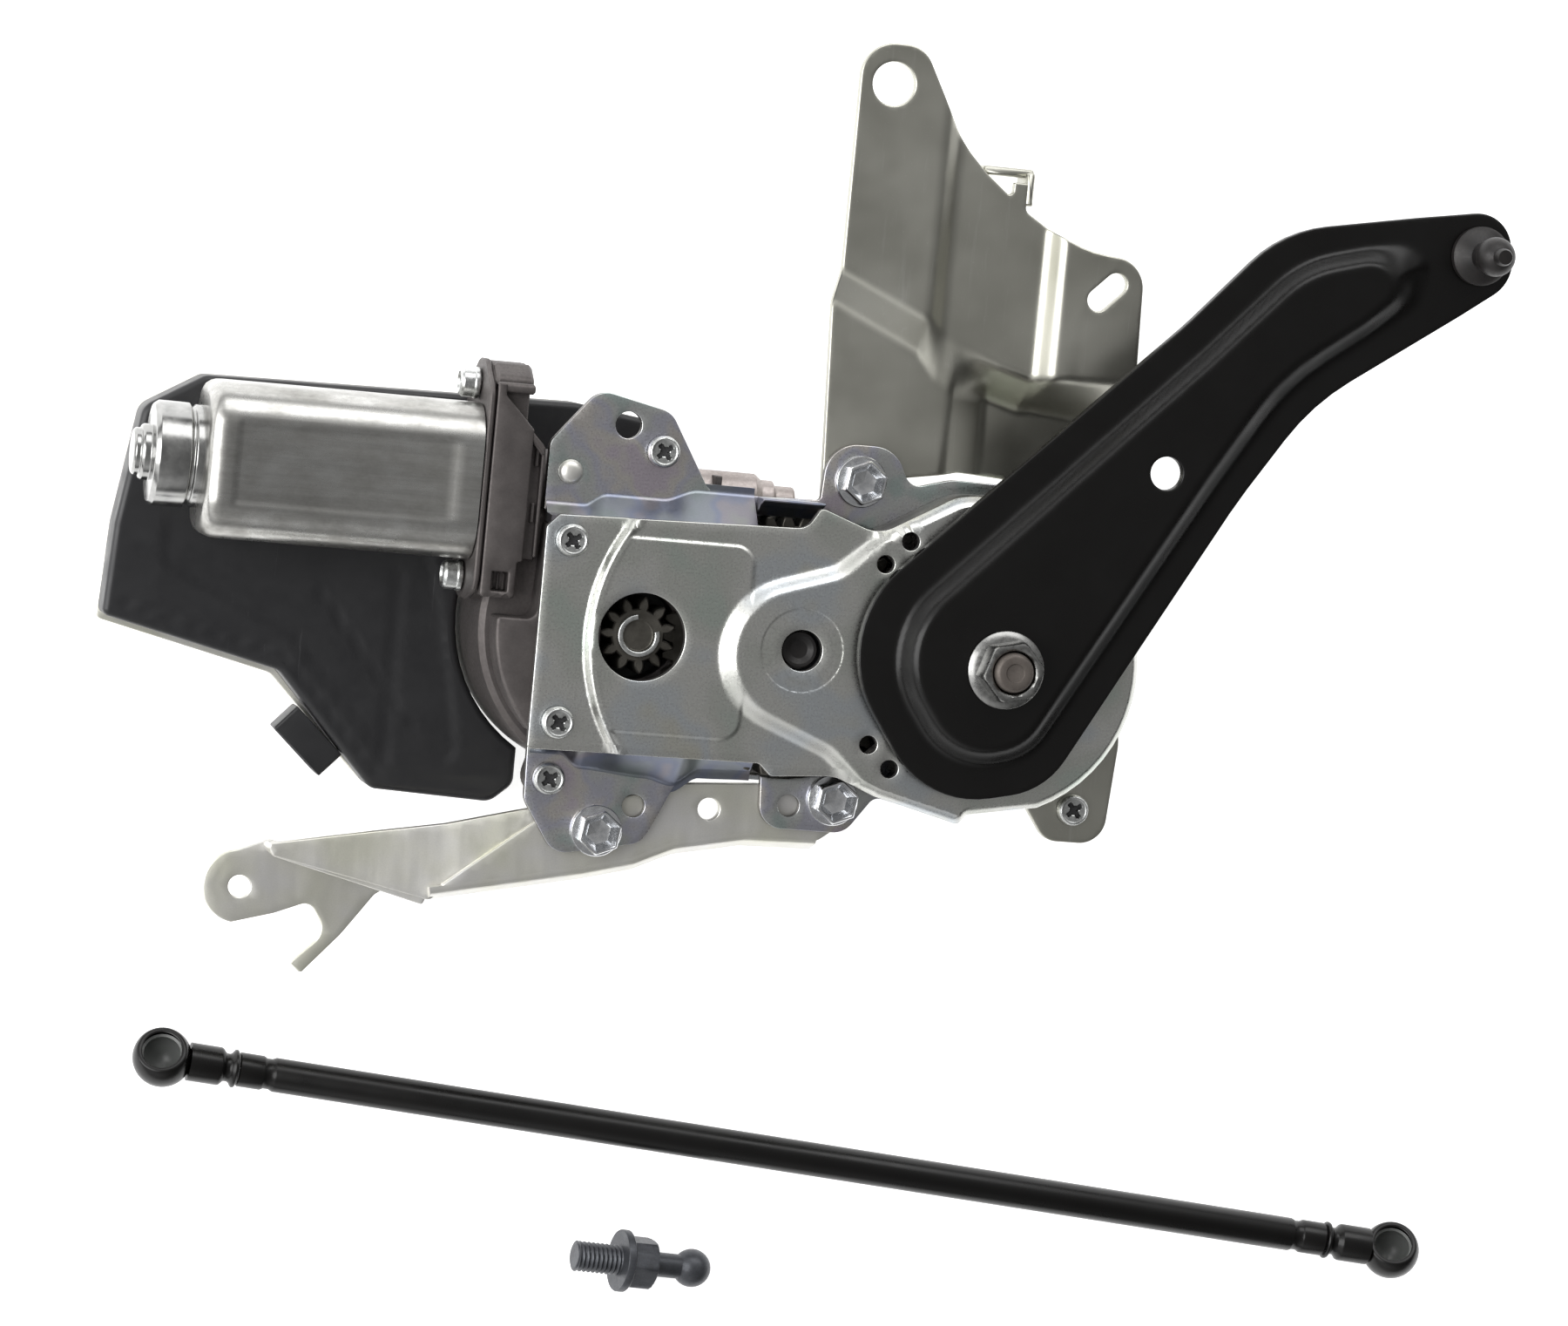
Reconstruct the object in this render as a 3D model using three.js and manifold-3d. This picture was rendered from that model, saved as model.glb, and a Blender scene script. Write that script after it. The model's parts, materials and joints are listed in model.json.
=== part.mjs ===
// Power liftgate drive unit: a geared motor in a pressed-steel case with two fixing brackets, its output
// arm, and the loose connecting rod and ball stud of the kit. Millimetres, +Z up, lying on its back.
import * as THREE from "three";
import { mergeVertices } from "three/addons/utils/BufferGeometryUtils.js";
import Module from "manifold-3d";

const wasm = await Module();
wasm.setup();

// ---------------------------------------------------------------- driving dimensions

const DEG = Math.PI / 180;
const GAP = 0.3; // clearance left between pieces that touch

const SHEET = 2.4; // pressed-steel case sheet
const EAR_SHEET = 2.3; // mounting ears and brackets

const COVER_TOP = 57; // flat left part of the front case
const STRIP_TOP = 55.5; // lowered strip with the two cover screws
const PAD_TOP = 58; // raised pad round the pinion opening
const BOSS_TOP = 60; // raised region over the second gear stage
const EAR_TOP = 45; // mounting ears of the gear case
const FLOOR_TOP = 37.5; // inside floor of the rear case
const BRACKET_TOP = EAR_TOP - EAR_SHEET - GAP; // brackets bolted under the ears

const PIN = { x: -50, y: 0 }; // fixed pin of the intermediate gear
const CLUTCH = { x: -90.5, y: 0 }; // axis of clutch, worm wheel and first pinion
const CASE_ARC_R = 38.5; // round end of the case, about the output shaft

const PRESSURE_ANGLE = 25 * DEG;
const STAGE_1 = { module: 1.5, pinionTeeth: 11, gearTeeth: 43, z: [39, 46.5] };
const STAGE_2 = { module: 2, pinionTeeth: 17, gearTeeth: 33, z: [47.2, 54] };
const WORM = { module: 1.25, wheelTeeth: 46, pitchR: 5.5, z: 33, faceHalf: 2.2 };
const WORM_LEAD = Math.PI * WORM.module;
const WHEEL_PITCH_R = (WORM.module * WORM.wheelTeeth) / 2;
const MOTOR_AXIS = { y: WHEEL_PITCH_R + WORM.pitchR, z: WORM.z };
const BACKLASH = 0.5; // gap between flanks, so that faceted teeth never touch

const HOUSING_R = 38.5;
const MODULE_TOP = 15.5;
const CAN = { halfY: 19.5, halfZ: 17, corner: 11, mouth: -133, end: -201 };

const ARM_BOTTOM = 62;
const ARM_SHEET = 2.7;
const ARM_TOP = 70;
const ARM_TIP = { x: 115, y: 114.5 };

const BALL_R = 5;
const ROD = { left: [-193.8, -119.9], right: [140.1, -151.3], socketR: 7.6, tubeR: 4.4 };
const STUD = { flange: [-69.8, -165.5], towards: [-50.3, -167], reach: 19.6, flangeR: 8.1 };

// ---------------------------------------------------------------- materials

function metal(color, roughness, metalness = 0.9) {
  return new THREE.MeshStandardMaterial({ color, roughness, metalness });
}

const zinc = metal(0xa9aaa3, 0.35);
const galvanised = metal(0x9b9a8e, 0.42);
const paleZinc = metal(0xd6d5c6, 0.4);
const bright = metal(0xd8d9da, 0.2);
const casting = metal(0x5b5452, 0.6, 0.5);
const drawnSteel = metal(0x9c9e9f, 0.3);
const sintered = metal(0x4c4842, 0.6, 0.7);
const darkSteel = metal(0x55585e, 0.5, 0.7);
const bronze = metal(0x9a7440, 0.5);
const copper = metal(0xa85c32, 0.4);
const blackCoat = metal(0x111111, 0.3, 0.2);
const magnetMaterial = metal(0x2d2d2f, 0.7, 0.1);
const blackPlastic = metal(0x151517, 0.45, 0);
const greyPlastic = metal(0x8c8f90, 0.5, 0);
const boardGreen = metal(0x1d4a2c, 0.6, 0);

// ---------------------------------------------------------------- outlines

const CHORD_ERROR = 0.2; // how far a straight step may cut inside its arc

// Corners [x, y, radius] become a closed outline whose every corner is an arc of that radius, or of the
// largest radius that its edges have room for. Outlines that are lofted together need a fixed step count.
function rounded(corners, fixedSteps) {
  const at = corners.map(([x, y]) => new THREE.Vector2(x, y));
  const next = (i) => (i + 1) % corners.length;
  const toNext = at.map((p, i) => at[next(i)].clone().sub(p));
  const toLast = at.map((_, i) => toNext[(i + at.length - 1) % at.length].clone().negate().normalize());
  const lengths = toNext.map((edge) => edge.length());
  toNext.forEach((edge) => edge.normalize());
  const half = toNext.map((edge, i) => Math.acos(THREE.MathUtils.clamp(edge.dot(toLast[i]), -1, 1)) / 2);
  const wanted = corners.map(([, , radius], i) => radius / Math.tan(half[i]));
  const share = wanted.map((length, i) => Math.min(1, lengths[i] / (length + wanted[next(i)] + 1e-9)));
  const tangent = wanted.map((length, i) => {
    return length * Math.min(share[i], share[(i + at.length - 1) % at.length]);
  });
  return at.flatMap((corner, i) => {
    const from = corner.clone().addScaledVector(toLast[i], tangent[i]);
    const to = corner.clone().addScaledVector(toNext[i], tangent[i]);
    const inwards = toLast[i].clone().add(toNext[i]).normalize();
    const centre = corner.clone().addScaledVector(inwards, tangent[i] / Math.cos(half[i]));
    const a = from.sub(centre);
    const b = to.sub(centre);
    const turn = Math.atan2(a.cross(b), a.dot(b));
    const widest = 2 * Math.acos(1 - Math.min(CHORD_ERROR / (a.length() + 0.01), 0.5));
    const steps = fixedSteps ?? Math.max(1, Math.ceil(Math.abs(turn) / widest));
    return Array.from({ length: steps + 1 }, (_, k) => {
      return a.clone().rotateAround(new THREE.Vector2(), (turn * k) / steps).add(centre);
    });
  });
}

// Corners of the polygon drawn round an arc, between its two ends, so that rounded() gives the arc itself.
function arcCorners(x, y, radius, fromDeg, toDeg, count) {
  const step = ((toDeg - fromDeg) * DEG) / count;
  const reach = radius / Math.cos(step / 2);
  const at = (r, angle) => [x + r * Math.cos(angle), y + r * Math.sin(angle)];
  const corners = Array.from({ length: count }, (_, i) => {
    return [...at(reach, fromDeg * DEG + step * (i + 0.5)), radius];
  });
  return [[...at(radius, fromDeg * DEG), 0], ...corners, [...at(radius, toDeg * DEG), 0]];
}

// The same corners moved inwards by a distance, with their radii to match; the order is anticlockwise.
function inset(corners, distance) {
  return corners.map(([x, y, radius], i) => {
    const before = corners[(i + corners.length - 1) % corners.length];
    const after = corners[(i + 1) % corners.length];
    const d1 = new THREE.Vector2(x - before[0], y - before[1]).normalize();
    const d2 = new THREE.Vector2(after[0] - x, after[1] - y).normalize();
    const n1 = new THREE.Vector2(-d1.y, d1.x);
    const n2 = new THREE.Vector2(-d2.y, d2.x);
    const shift = n1.clone().add(n2).multiplyScalar(distance / (1 + n1.dot(n2)));
    const convex = d1.x * d2.y - d1.y * d2.x > 0;
    const turned = radius && Math.max(radius + (convex ? -distance : distance), 0.4);
    return [x + shift.x, y + shift.y, turned];
  });
}

function circle(x, y, radius, sides = 16) {
  return Array.from({ length: sides }, (_, i) => {
    const angle = (2 * Math.PI * i) / sides;
    return new THREE.Vector2(x + radius * Math.cos(angle), y + radius * Math.sin(angle));
  });
}

function rectangle(x0, y0, x1, y1, radius = 0) {
  const corners = [[x0, y0, radius], [x1, y0, radius], [x1, y1, radius], [x0, y1, radius]];
  return radius ? rounded(corners) : corners.map(([x, y]) => new THREE.Vector2(x, y));
}

function hexagon(x, y, acrossFlats, turnDeg = 0) {
  const reach = acrossFlats / Math.sqrt(3);
  return Array.from({ length: 6 }, (_, i) => {
    const angle = (60 * i + turnDeg) * DEG;
    return new THREE.Vector2(x + reach * Math.cos(angle), y + reach * Math.sin(angle));
  });
}

// ---------------------------------------------------------------- solids

function solid(geometry) {
  const bare = geometry.index ? geometry.toNonIndexed() : geometry.clone();
  bare.deleteAttribute("normal");
  bare.deleteAttribute("uv");
  const merged = mergeVertices(bare, 1e-4);
  const corners = merged.index.array;
  const kept = [];
  for (let i = 0; i < corners.length; i += 3) {
    const [a, b, c] = corners.subarray(i, i + 3);
    if (a !== b && b !== c && c !== a) kept.push(a, b, c);
  }
  const triVerts = new Uint32Array(kept);
  const vertProperties = merged.attributes.position.array;
  const made = new wasm.Manifold(new wasm.Mesh({ numProp: 3, vertProperties, triVerts }));
  if (made.volume() > 0) return made;
  for (let i = 0; i < triVerts.length; i += 3) {
    [triVerts[i + 1], triVerts[i + 2]] = [triVerts[i + 2], triVerts[i + 1]];
  }
  return new wasm.Manifold(new wasm.Mesh({ numProp: 3, vertProperties, triVerts }));
}

function join(...solids) {
  return solids.reduce((sum, piece) => sum.add(piece));
}

function cut(body, ...tools) {
  return tools.reduce((rest, tool) => rest.subtract(tool), body);
}

function prismGeometry(outline, z0, z1) {
  const apart = outline.filter((p, i) => p.distanceTo(outline[(i + 1) % outline.length]) > 1e-3);
  const shape = new THREE.Shape(apart);
  return new THREE.ExtrudeGeometry(shape, { depth: z1 - z0, bevelEnabled: false }).translate(0, 0, z0);
}

function prism(outline, z0, z1) {
  return solid(prismGeometry(outline, z0, z1));
}

function cylinder(x, y, radius, z0, z1, sides = 16) {
  return prism(circle(x, y, radius, sides), z0, z1);
}

function cylinderX(y, z, radius, x0, x1, sides = 14) {
  return solid(turnedToX(prismGeometry(circle(0, 0, radius, sides), x0, x1), y, z));
}

// A shape built along +Z is laid along +X, at height z and side y.
function turnedToX(geometry, y, z) {
  return geometry.rotateY(90 * DEG).translate(0, y, z);
}

// Rings of equally many points, bottom one first, joined by walls and closed by flat caps.
function loft(rings) {
  const count = rings[0].length;
  const positions = [];
  const push = (...points) => points.forEach((p) => positions.push(p.x, p.y, p.z));
  for (let k = 0; k + 1 < rings.length; k++) {
    for (let i = 0; i < count; i++) {
      const j = (i + 1) % count;
      push(rings[k][i], rings[k][j], rings[k + 1][j]);
      push(rings[k][i], rings[k + 1][j], rings[k + 1][i]);
    }
  }
  const top = rings[rings.length - 1];
  const flat = (ring) => ring.map((p) => new THREE.Vector2(p.x, p.y));
  THREE.ShapeUtils.triangulateShape(flat(top), []).forEach(([a, b, c]) => push(top[a], top[b], top[c]));
  THREE.ShapeUtils.triangulateShape(flat(rings[0]), []).forEach(([a, b, c]) => {
    push(rings[0][a], rings[0][c], rings[0][b]);
  });
  const geometry = new THREE.BufferGeometry();
  geometry.setAttribute("position", new THREE.Float32BufferAttribute(positions, 3));
  return geometry;
}

function ring(outline, z) {
  return outline.map((p) => new THREE.Vector3(p.x, p.y, z));
}

// Pairs of [outline, height] joined into a tapered body.
function taper(...levels) {
  return solid(loft(levels.map(([outline, z]) => ring(outline, z))));
}

// One bent facet of a sheet: its top corners [x, y, z] and the sheet's thickness below them.
function facet(thickness, ...points) {
  const top = points.map(([x, y, z]) => new THREE.Vector3(x, y, z));
  const bottom = top.map((p) => p.clone().setZ(p.z - thickness));
  return solid(loft([bottom, top]));
}

// A bent sheet from rows of top nodes [x, y, z].
function formedSheet(rows, thickness) {
  const positions = [];
  const node = (i, j, drop) => [rows[i][j][0], rows[i][j][1], rows[i][j][2] - drop];
  const quad = (a, b, c, d) => positions.push(...a, ...b, ...c, ...a, ...c, ...d);
  const last = rows.length - 1;
  const end = rows[0].length - 1;
  for (let i = 0; i < last; i++) {
    for (let j = 0; j < end; j++) {
      quad(node(i, j, 0), node(i + 1, j, 0), node(i + 1, j + 1, 0), node(i, j + 1, 0));
      quad(node(i, j, thickness), node(i, j + 1, thickness), node(i + 1, j + 1, thickness),
        node(i + 1, j, thickness));
    }
  }
  const wall = (i1, j1, i2, j2) => {
    quad(node(i1, j1, 0), node(i2, j2, 0), node(i2, j2, thickness), node(i1, j1, thickness));
  };
  for (let j = 0; j < end; j++) {
    wall(0, j, 0, j + 1);
    wall(last, j + 1, last, j);
  }
  for (let i = 0; i < last; i++) {
    wall(i + 1, 0, i, 0);
    wall(i, end, i + 1, end);
  }
  const geometry = new THREE.BufferGeometry();
  geometry.setAttribute("position", new THREE.Float32BufferAttribute(positions, 3));
  return solid(geometry);
}

// A profile of [radius, height] points turned round the Z axis through (x, y).
function turned(profile, x = 0, y = 0, sides = 16) {
  return solid(turnedGeometry(profile, sides).translate(x, y, 0));
}

function turnedGeometry(profile, sides = 16) {
  const closed = profile[0][0] === 0 ? profile : [...profile, profile[0]];
  const points = closed.map(([radius, height]) => new THREE.Vector2(radius, height));
  return new THREE.LatheGeometry(points, sides).rotateX(90 * DEG);
}

function turnedAlongX(profile, y, z, sides = 16) {
  return solid(turnedToX(turnedGeometry(profile, sides), y, z));
}

// Half a ball's outline, from its lower pole or neck angle to its top, as lathe points.
function ballProfile(radius, centre, fromDeg, toDeg, steps) {
  return Array.from({ length: steps + 1 }, (_, i) => {
    const angle = (fromDeg + ((toDeg - fromDeg) * i) / steps) * DEG;
    return [Math.max(radius * Math.cos(angle), 0), centre + radius * Math.sin(angle)];
  });
}

// ---------------------------------------------------------------- gears

const involute = (angle) => Math.tan(angle) - angle;

// One gear's outline; the first tooth points at firstDeg, and only teeth inside `span` are cut full height.
function gearOutline({ teeth, module, tip, root, firstDeg, flankSteps = 1, kept = () => true, hubR = 0 }) {
  const pitchR = (teeth * module) / 2;
  const baseR = pitchR * Math.cos(PRESSURE_ANGLE);
  const halfAtPitch = Math.PI / (2 * teeth) - BACKLASH / 4 / pitchR;
  const halfAt = (r) => {
    const angle = r > baseR ? Math.acos(baseR / r) : 0;
    return halfAtPitch + involute(PRESSURE_ANGLE) - involute(angle);
  };
  const radii = [root];
  const lowest = Math.max(root, baseR);
  for (let i = 0; i <= flankSteps; i++) radii.push(lowest + ((tip - lowest) * i) / flankSteps);
  const profile = [...new Set(radii)];
  const outline = [];
  const add = (r, angle) => outline.push(new THREE.Vector2(r * Math.cos(angle), r * Math.sin(angle)));
  for (let i = 0; i < teeth; i++) {
    const middle = firstDeg * DEG + (2 * Math.PI * i) / teeth;
    if (!kept(middle)) {
      add(hubR, middle);
      continue;
    }
    profile.forEach((r) => add(r, middle - halfAt(r)));
    [...profile].reverse().forEach((r) => add(r, middle + halfAt(r)));
  }
  return outline;
}

function shifted(outline, x, y) {
  return outline.map((p) => new THREE.Vector2(p.x + x, p.y + y));
}

// A right-hand worm: a rod along Z whose radius follows one helical ridge.
function threadedRod({ rootR, crestR, lead, length, around, perLead }) {
  const rings = Math.round((length / lead) * perLead);
  const made = Array.from({ length: rings + 1 }, (_, k) => {
    const z = (length * k) / rings;
    return Array.from({ length: around }, (_, i) => {
      const angle = (2 * Math.PI * i) / around;
      const turns = z / lead - angle / (2 * Math.PI);
      const off = Math.abs(turns - Math.round(turns));
      const rise = THREE.MathUtils.clamp((0.3 - off) / 0.14, 0, 1);
      const r = rootR + (crestR - rootR) * rise;
      return new THREE.Vector3(r * Math.cos(angle), r * Math.sin(angle), z);
    });
  });
  return loft(made);
}

// ---------------------------------------------------------------- scene graph

const kit = new THREE.Group();
const SLIVER = 0.01; // facets thinner than this are merged into their neighbours

function add(name, body, material) {
  const mesh = body.simplify(SLIVER).getMesh();
  const positions = new Float32Array(mesh.numVert * 3);
  for (let i = 0; i < mesh.numVert; i++) {
    positions.set(mesh.vertProperties.subarray(i * mesh.numProp, i * mesh.numProp + 3), i * 3);
  }
  const geometry = new THREE.BufferGeometry();
  geometry.setAttribute("position", new THREE.BufferAttribute(positions, 3));
  geometry.setIndex(new THREE.BufferAttribute(mesh.triVerts, 1));
  const piece = new THREE.Mesh(geometry, material);
  piece.name = name;
  kit.add(piece);
  return piece;
}

// ---------------------------------------------------------------- pressed-steel case

const roundEnd = arcCorners(0, 0, CASE_ARC_R, -66, 36, 4);
const PLATE_SCREWS = [[-110.1, 22.5], [-109.5, -22.9]];
const HEX_BOLTS = { lower_left: [-95, -50.2], lower_right: [-35, -38.1], upper: [-35.5, 42.8] };
const SMALL_HOLES = [[-30.7, 23.3], [-24.8, 29.5], [-30.7, -22.2], [-24.7, -27.9]];

// The whole front plate at its flat level.
const coverOutline = [
  [-116.4, -30, 1],
  [-66, -29.3, 2],
  [-57.5, -29.2, 2],
  [-54.3, -32.2, 1.5],
  [-38, -31, 8],
  [-27, -35.4, 5],
  [-4.6, -41, 1.5],
  [-2.6, -38.3, 1],
  ...roundEnd,
  [12, 44.6, 22],
  [-12, 44.6, 12],
  [-33.5, 31.6, 7],
  [-47.6, 35.8, 1.5],
  [-51, 30.4, 3],
  [-113.6, 28.6, 1],
  [-116.6, 25.4, 1],
];

// Foot of the raised region; its left nose is concentric with the intermediate gear's pin.
const bossFoot = [
  [-32, -34.6, 2],
  [-27, -35.4, 5],
  [-4.6, -41, 1.5],
  [-2.6, -38.3, 1],
  ...roundEnd,
  [12, 44.6, 22],
  [-12, 44.6, 12],
  [-33.5, 32.4, 3],
  [-43.5, 22.3, 9],
  ...arcCorners(-51, -1.6, 20.4, 108, 250, 3),
  [-42, -27, 9],
];

const bossTop = [
  [-30.5, -31.5, 2],
  [-26.4, -33.4, 4],
  [-5.6, -38.6, 1.5],
  [-2.8, -36.6, 1],
  ...arcCorners(0, 0, CASE_ARC_R - 1.8, -66, 36, 4),
  [11.4, 42.6, 20],
  [-11.6, 42.6, 10],
  [-31.5, 30.6, 3],
  [-40.5, 18.4, 12],
  ...arcCorners(-50.4, -1.2, 15.7, 108, 250, 3),
  [-39.2, -22.8, 12],
];

function frontCase() {
  const stripEdge = circle(-54, 0, 51.7, 48);
  const flat = cut(prism(rounded(coverOutline), COVER_TOP - SHEET, COVER_TOP), prism(
    rectangle(-130, -40, -70, 32), STRIP_TOP, COVER_TOP + 1).subtract(prism(stripEdge, 50, 60)));
  const strip = prism(rounded(coverOutline), STRIP_TOP - SHEET, COVER_TOP - SHEET + 0.2)
    .intersect(prism(rectangle(-130, -40, -70, 32), 50, 60))
    .subtract(prism(circle(-54, 0, 49.6, 48), 50, 60));
  const pad = prism(rectangle(-112, -24, -63.6, 24.6, 5), COVER_TOP - 1, PAD_TOP)
    .intersect(prism(circle(-54, 0, 49.6, 48), 50, 60));
  const foot = rounded(bossFoot, 2);
  const innerFoot = rounded(inset(bossFoot, SHEET), 2);
  const skirt = taper([foot, EAR_TOP + GAP], [foot, COVER_TOP - 0.6], [rounded(bossTop, 2), BOSS_TOP]);
  const inner = taper([innerFoot, EAR_TOP - 1], [innerFoot, COVER_TOP - 0.6 - SHEET],
    [rounded(inset(bossTop, SHEET - 0.6), 2), BOSS_TOP - SHEET]);
  const openLeft = prism(rectangle(-80, -36, -33, 34), EAR_TOP - 1, COVER_TOP - SHEET);
  return cut(join(flat, strip, pad, cut(skirt, openLeft)), inner,
    cylinder(CLUTCH.x, CLUTCH.y, 11, 50, 60, 32),
    cylinder(PIN.x, PIN.y, 5.2, 50, 61),
    cylinder(0, 0, 13.3, 50, 61),
    ...Object.values(HEX_BOLTS).map(([x, y]) => cylinder(x, y, 7.2, EAR_TOP - 1, COVER_TOP - SHEET)),
    ...PLATE_SCREWS.map(([x, y]) => cylinder(x, y, 2.8, 50, 60, 12)),
    ...SMALL_HOLES.map(([x, y]) => cylinder(x, y, 2.3, 50, 61, 12)));
}

const EAR_SCREWS = [[-87, 46], [-108.4, -38]];
const EAR_HOLES = [[-96.3, 51.8, 3.4], [-86, -43.4, 2.9], [-46.1, -40.4, 2.8]];
const RIVET = [-110, 39];

const gearCaseOutline = [
  [-114.4, -30, 1],
  [-114, -43.8, 5],
  [-105.4, -57, 6],
  [-83, -52.6, 6],
  [-75, -37.2, 4],
  [-70, -35.6, 5],
  [-54, -35.6, 1],
  [-53.2, -46.4, 6],
  [-31, -46.4, 6],
  [-24, -36.6, 3],
  [-4.6, -41, 1.5],
  [-2.6, -38.3, 1],
  ...roundEnd,
  [12, 45, 22],
  [-12, 45.2, 12],
  [-24.5, 42.6, 2],
  [-29.4, 52, 6],
  [-44.6, 52, 6],
  [-45.4, 37.2, 1],
  [-74, 36.6, 5],
  [-85.6, 56, 6],
  [-104.4, 60, 6],
  [-115.8, 46, 4],
  [-115.8, 30, 1],
];

// The two sloping walls that carry the front case above the ears; [x, foot y, top y].
const UPPER_WALL = [[-115.4, 31, 29.4], [-106, 31, 29.4], [-100, 34, 29.5], [-86, 34, 29.7],
  [-77, 37, 29.9], [-67.5, 37, 30]];
const LOWER_WALL = [[-113.8, -31.4, -30.2], [-106, -31.4, -30], [-101, -34.6, -29.9], [-84, -36.2, -29.8],
  [-76, -38, -29.7], [-68, -35.4, -29.6]];

function slopingWall(stations) {
  const top = COVER_TOP - SHEET - GAP;
  const rows = [
    stations.map(([x, foot]) => [x, foot, EAR_TOP - 0.2]),
    stations.map(([x, , edge]) => [x, edge, top]),
    stations.map(([x, , edge]) => [x, edge - Math.sign(edge) * 2.2, top]),
  ];
  return formedSheet(rows, EAR_SHEET);
}

function gearCase() {
  const plate = prism(rounded(gearCaseOutline), EAR_TOP - EAR_SHEET, EAR_TOP);
  const window = taper([rectangle(-66.5, 34.7, -46, 37), EAR_TOP - 1],
    [rectangle(-66.5, 34.7, -46, 36.8), COVER_TOP - SHEET - GAP]);
  const sides = join(slopingWall(UPPER_WALL), slopingWall(LOWER_WALL), window);
  const gearRoom = cylinder(PIN.x, PIN.y, 34.1, 38, 52.5, 32);
  const clutchRoom = prism(rectangle(-130, -29.2, -66, 29), 38, EAR_TOP + 0.5);
  const stripRoom = prism(rectangle(-118, -40, -93, 32), STRIP_TOP - SHEET - GAP, 60);
  return cut(join(plate, sides), gearRoom, clutchRoom, stripRoom,
    cylinder(0, 0, 11, 40, 50),
    ...EAR_SCREWS.map(([x, y]) => cylinder(x, y, 2.8, 40, 50, 12)),
    ...Object.values(HEX_BOLTS).map(([x, y]) => cylinder(x, y, 3.3, 40, 50, 12)),
    ...EAR_HOLES.map(([x, y, r]) => cylinder(x, y, r, 40, 50, 14)),
    cylinder(...RIVET, 2.3, 40, 50, 12));
}

const rearCaseOutline = [
  [-49, -31.4, 3],
  [-29, -31.4, 6],
  [-20, -35, 6],
  ...arcCorners(0, 0, CASE_ARC_R - 1.5, -66, 36, 4),
  [12, 42, 20],
  [-12, 41, 12],
  [-26, 33.6, 8],
  [-49, 33.6, 3],
];
const PIN_PAD_R = 7.6; // the rear case reaches round the foot of the pin

function rearCase() {
  const outer = cut(prism(rounded(rearCaseOutline), FLOOR_TOP - SHEET, EAR_TOP - EAR_SHEET - GAP),
    cylinder(CLUTCH.x, CLUTCH.y, HOUSING_R + 0.6, 30, 50, 32));
  const inner = prism(rounded(inset(rearCaseOutline, SHEET)), FLOOR_TOP, EAR_TOP);
  const pinPad = cylinder(PIN.x, PIN.y, PIN_PAD_R, FLOOR_TOP - SHEET, FLOOR_TOP - 0.1);
  return cut(join(outer, pinPad), inner,
    cylinder(PIN.x, PIN.y, 34.6, FLOOR_TOP, EAR_TOP, 32),
    cylinder(PIN.x, PIN.y, 5.2, 30, 50),
    cylinder(0, 0, 9, 30, 50));
}

add("front_case", frontCase(), zinc);
add("gear_case", gearCase(), zinc);
add("rear_case", rearCase(), zinc);

// ---------------------------------------------------------------- die-cast housing of worm and clutch

const CLUTCH_ROOM_R = 31;
const WORM_ROOM_R = 7.6;
const HOUSING_TOP = EAR_TOP - EAR_SHEET - GAP;
const HOUSING_BOTTOM = 3;

function clutchHousing() {
  const round = cylinder(CLUTCH.x, CLUTCH.y, HOUSING_R, HOUSING_BOTTOM, HOUSING_TOP, 36);
  const step = cylinder(CLUTCH.x, CLUTCH.y, HOUSING_R - 2.5, HOUSING_TOP - 1, STRIP_TOP - SHEET - GAP, 32)
    .intersect(prism(rounded([[-140, -26, 0], [-100, -26, 0], [-100, 26, 0], [-116.6, 26, 0],
      [-116.6, 2, 3], [-140, 2, 0]]), 30, 60));
  const tube = cylinderX(MOTOR_AXIS.y, MOTOR_AXIS.z, 9.4, -117, -77);
  const nose = turnedAlongX([[0, -78], [7.8, -78], [7.8, -59.6], [6.4, -58.6], [6.4, -55.6], [5.2, -55],
    [5.2, -49.8], [0, -49.8]], MOTOR_AXIS.y, MOTOR_AXIS.z, 24);
  const lugs = [...EAR_SCREWS, RIVET].map(([x, y]) => {
    const inwards = new THREE.Vector2(CLUTCH.x - x, CLUTCH.y - y).setLength(14);
    const far = [x + inwards.x, y + inwards.y];
    return taper([circle(...far, 5.5, 12), 24], [circle(x, y, 5.5, 12), 36],
      [circle(x, y, 5.5, 12), HOUSING_TOP]);
  });
  const ceiling = WORM.z + WORM.faceHalf + 0.5;
  return cut(join(round, step, tube, nose, ...lugs),
    cylinder(CLUTCH.x, CLUTCH.y, CLUTCH_ROOM_R, 0, ceiling, 32),
    cylinderX(MOTOR_AXIS.y, MOTOR_AXIS.z, WORM_ROOM_R, -120, -68),
    cylinderX(MOTOR_AXIS.y, MOTOR_AXIS.z, 3.4, -120, -58),
    cylinder(CLUTCH.x, CLUTCH.y, 7.2, 20, 60),
    cylinder(CLUTCH.x, CLUTCH.y, 11.6, FLOOR_TOP, 60),
    cylinder(PIN.x, PIN.y, 34.6, FLOOR_TOP, 60, 32),
    cylinder(PIN.x, PIN.y, PIN_PAD_R + 0.4, 30, 60),
    ...[...PLATE_SCREWS, ...EAR_SCREWS].map(([x, y]) => cylinder(x, y, 2.35, 36, 60, 10)),
    cylinder(...RIVET, 2.3, 36, 60, 10));
}

function clutchCover() {
  return turned([[0, 0], [34.5, 0], [35.2, 0.8], [35.2, 2.7], [30.6, 2.7], [30.6, 3.6], [12, 3.6],
    [12, 2.4], [0, 2.4]], CLUTCH.x, CLUTCH.y, 22);
}

add("clutch_housing", clutchHousing(), casting);
add("clutch_cover", clutchCover(), zinc);

// ---------------------------------------------------------------- clutch, worm wheel and first pinion

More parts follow.
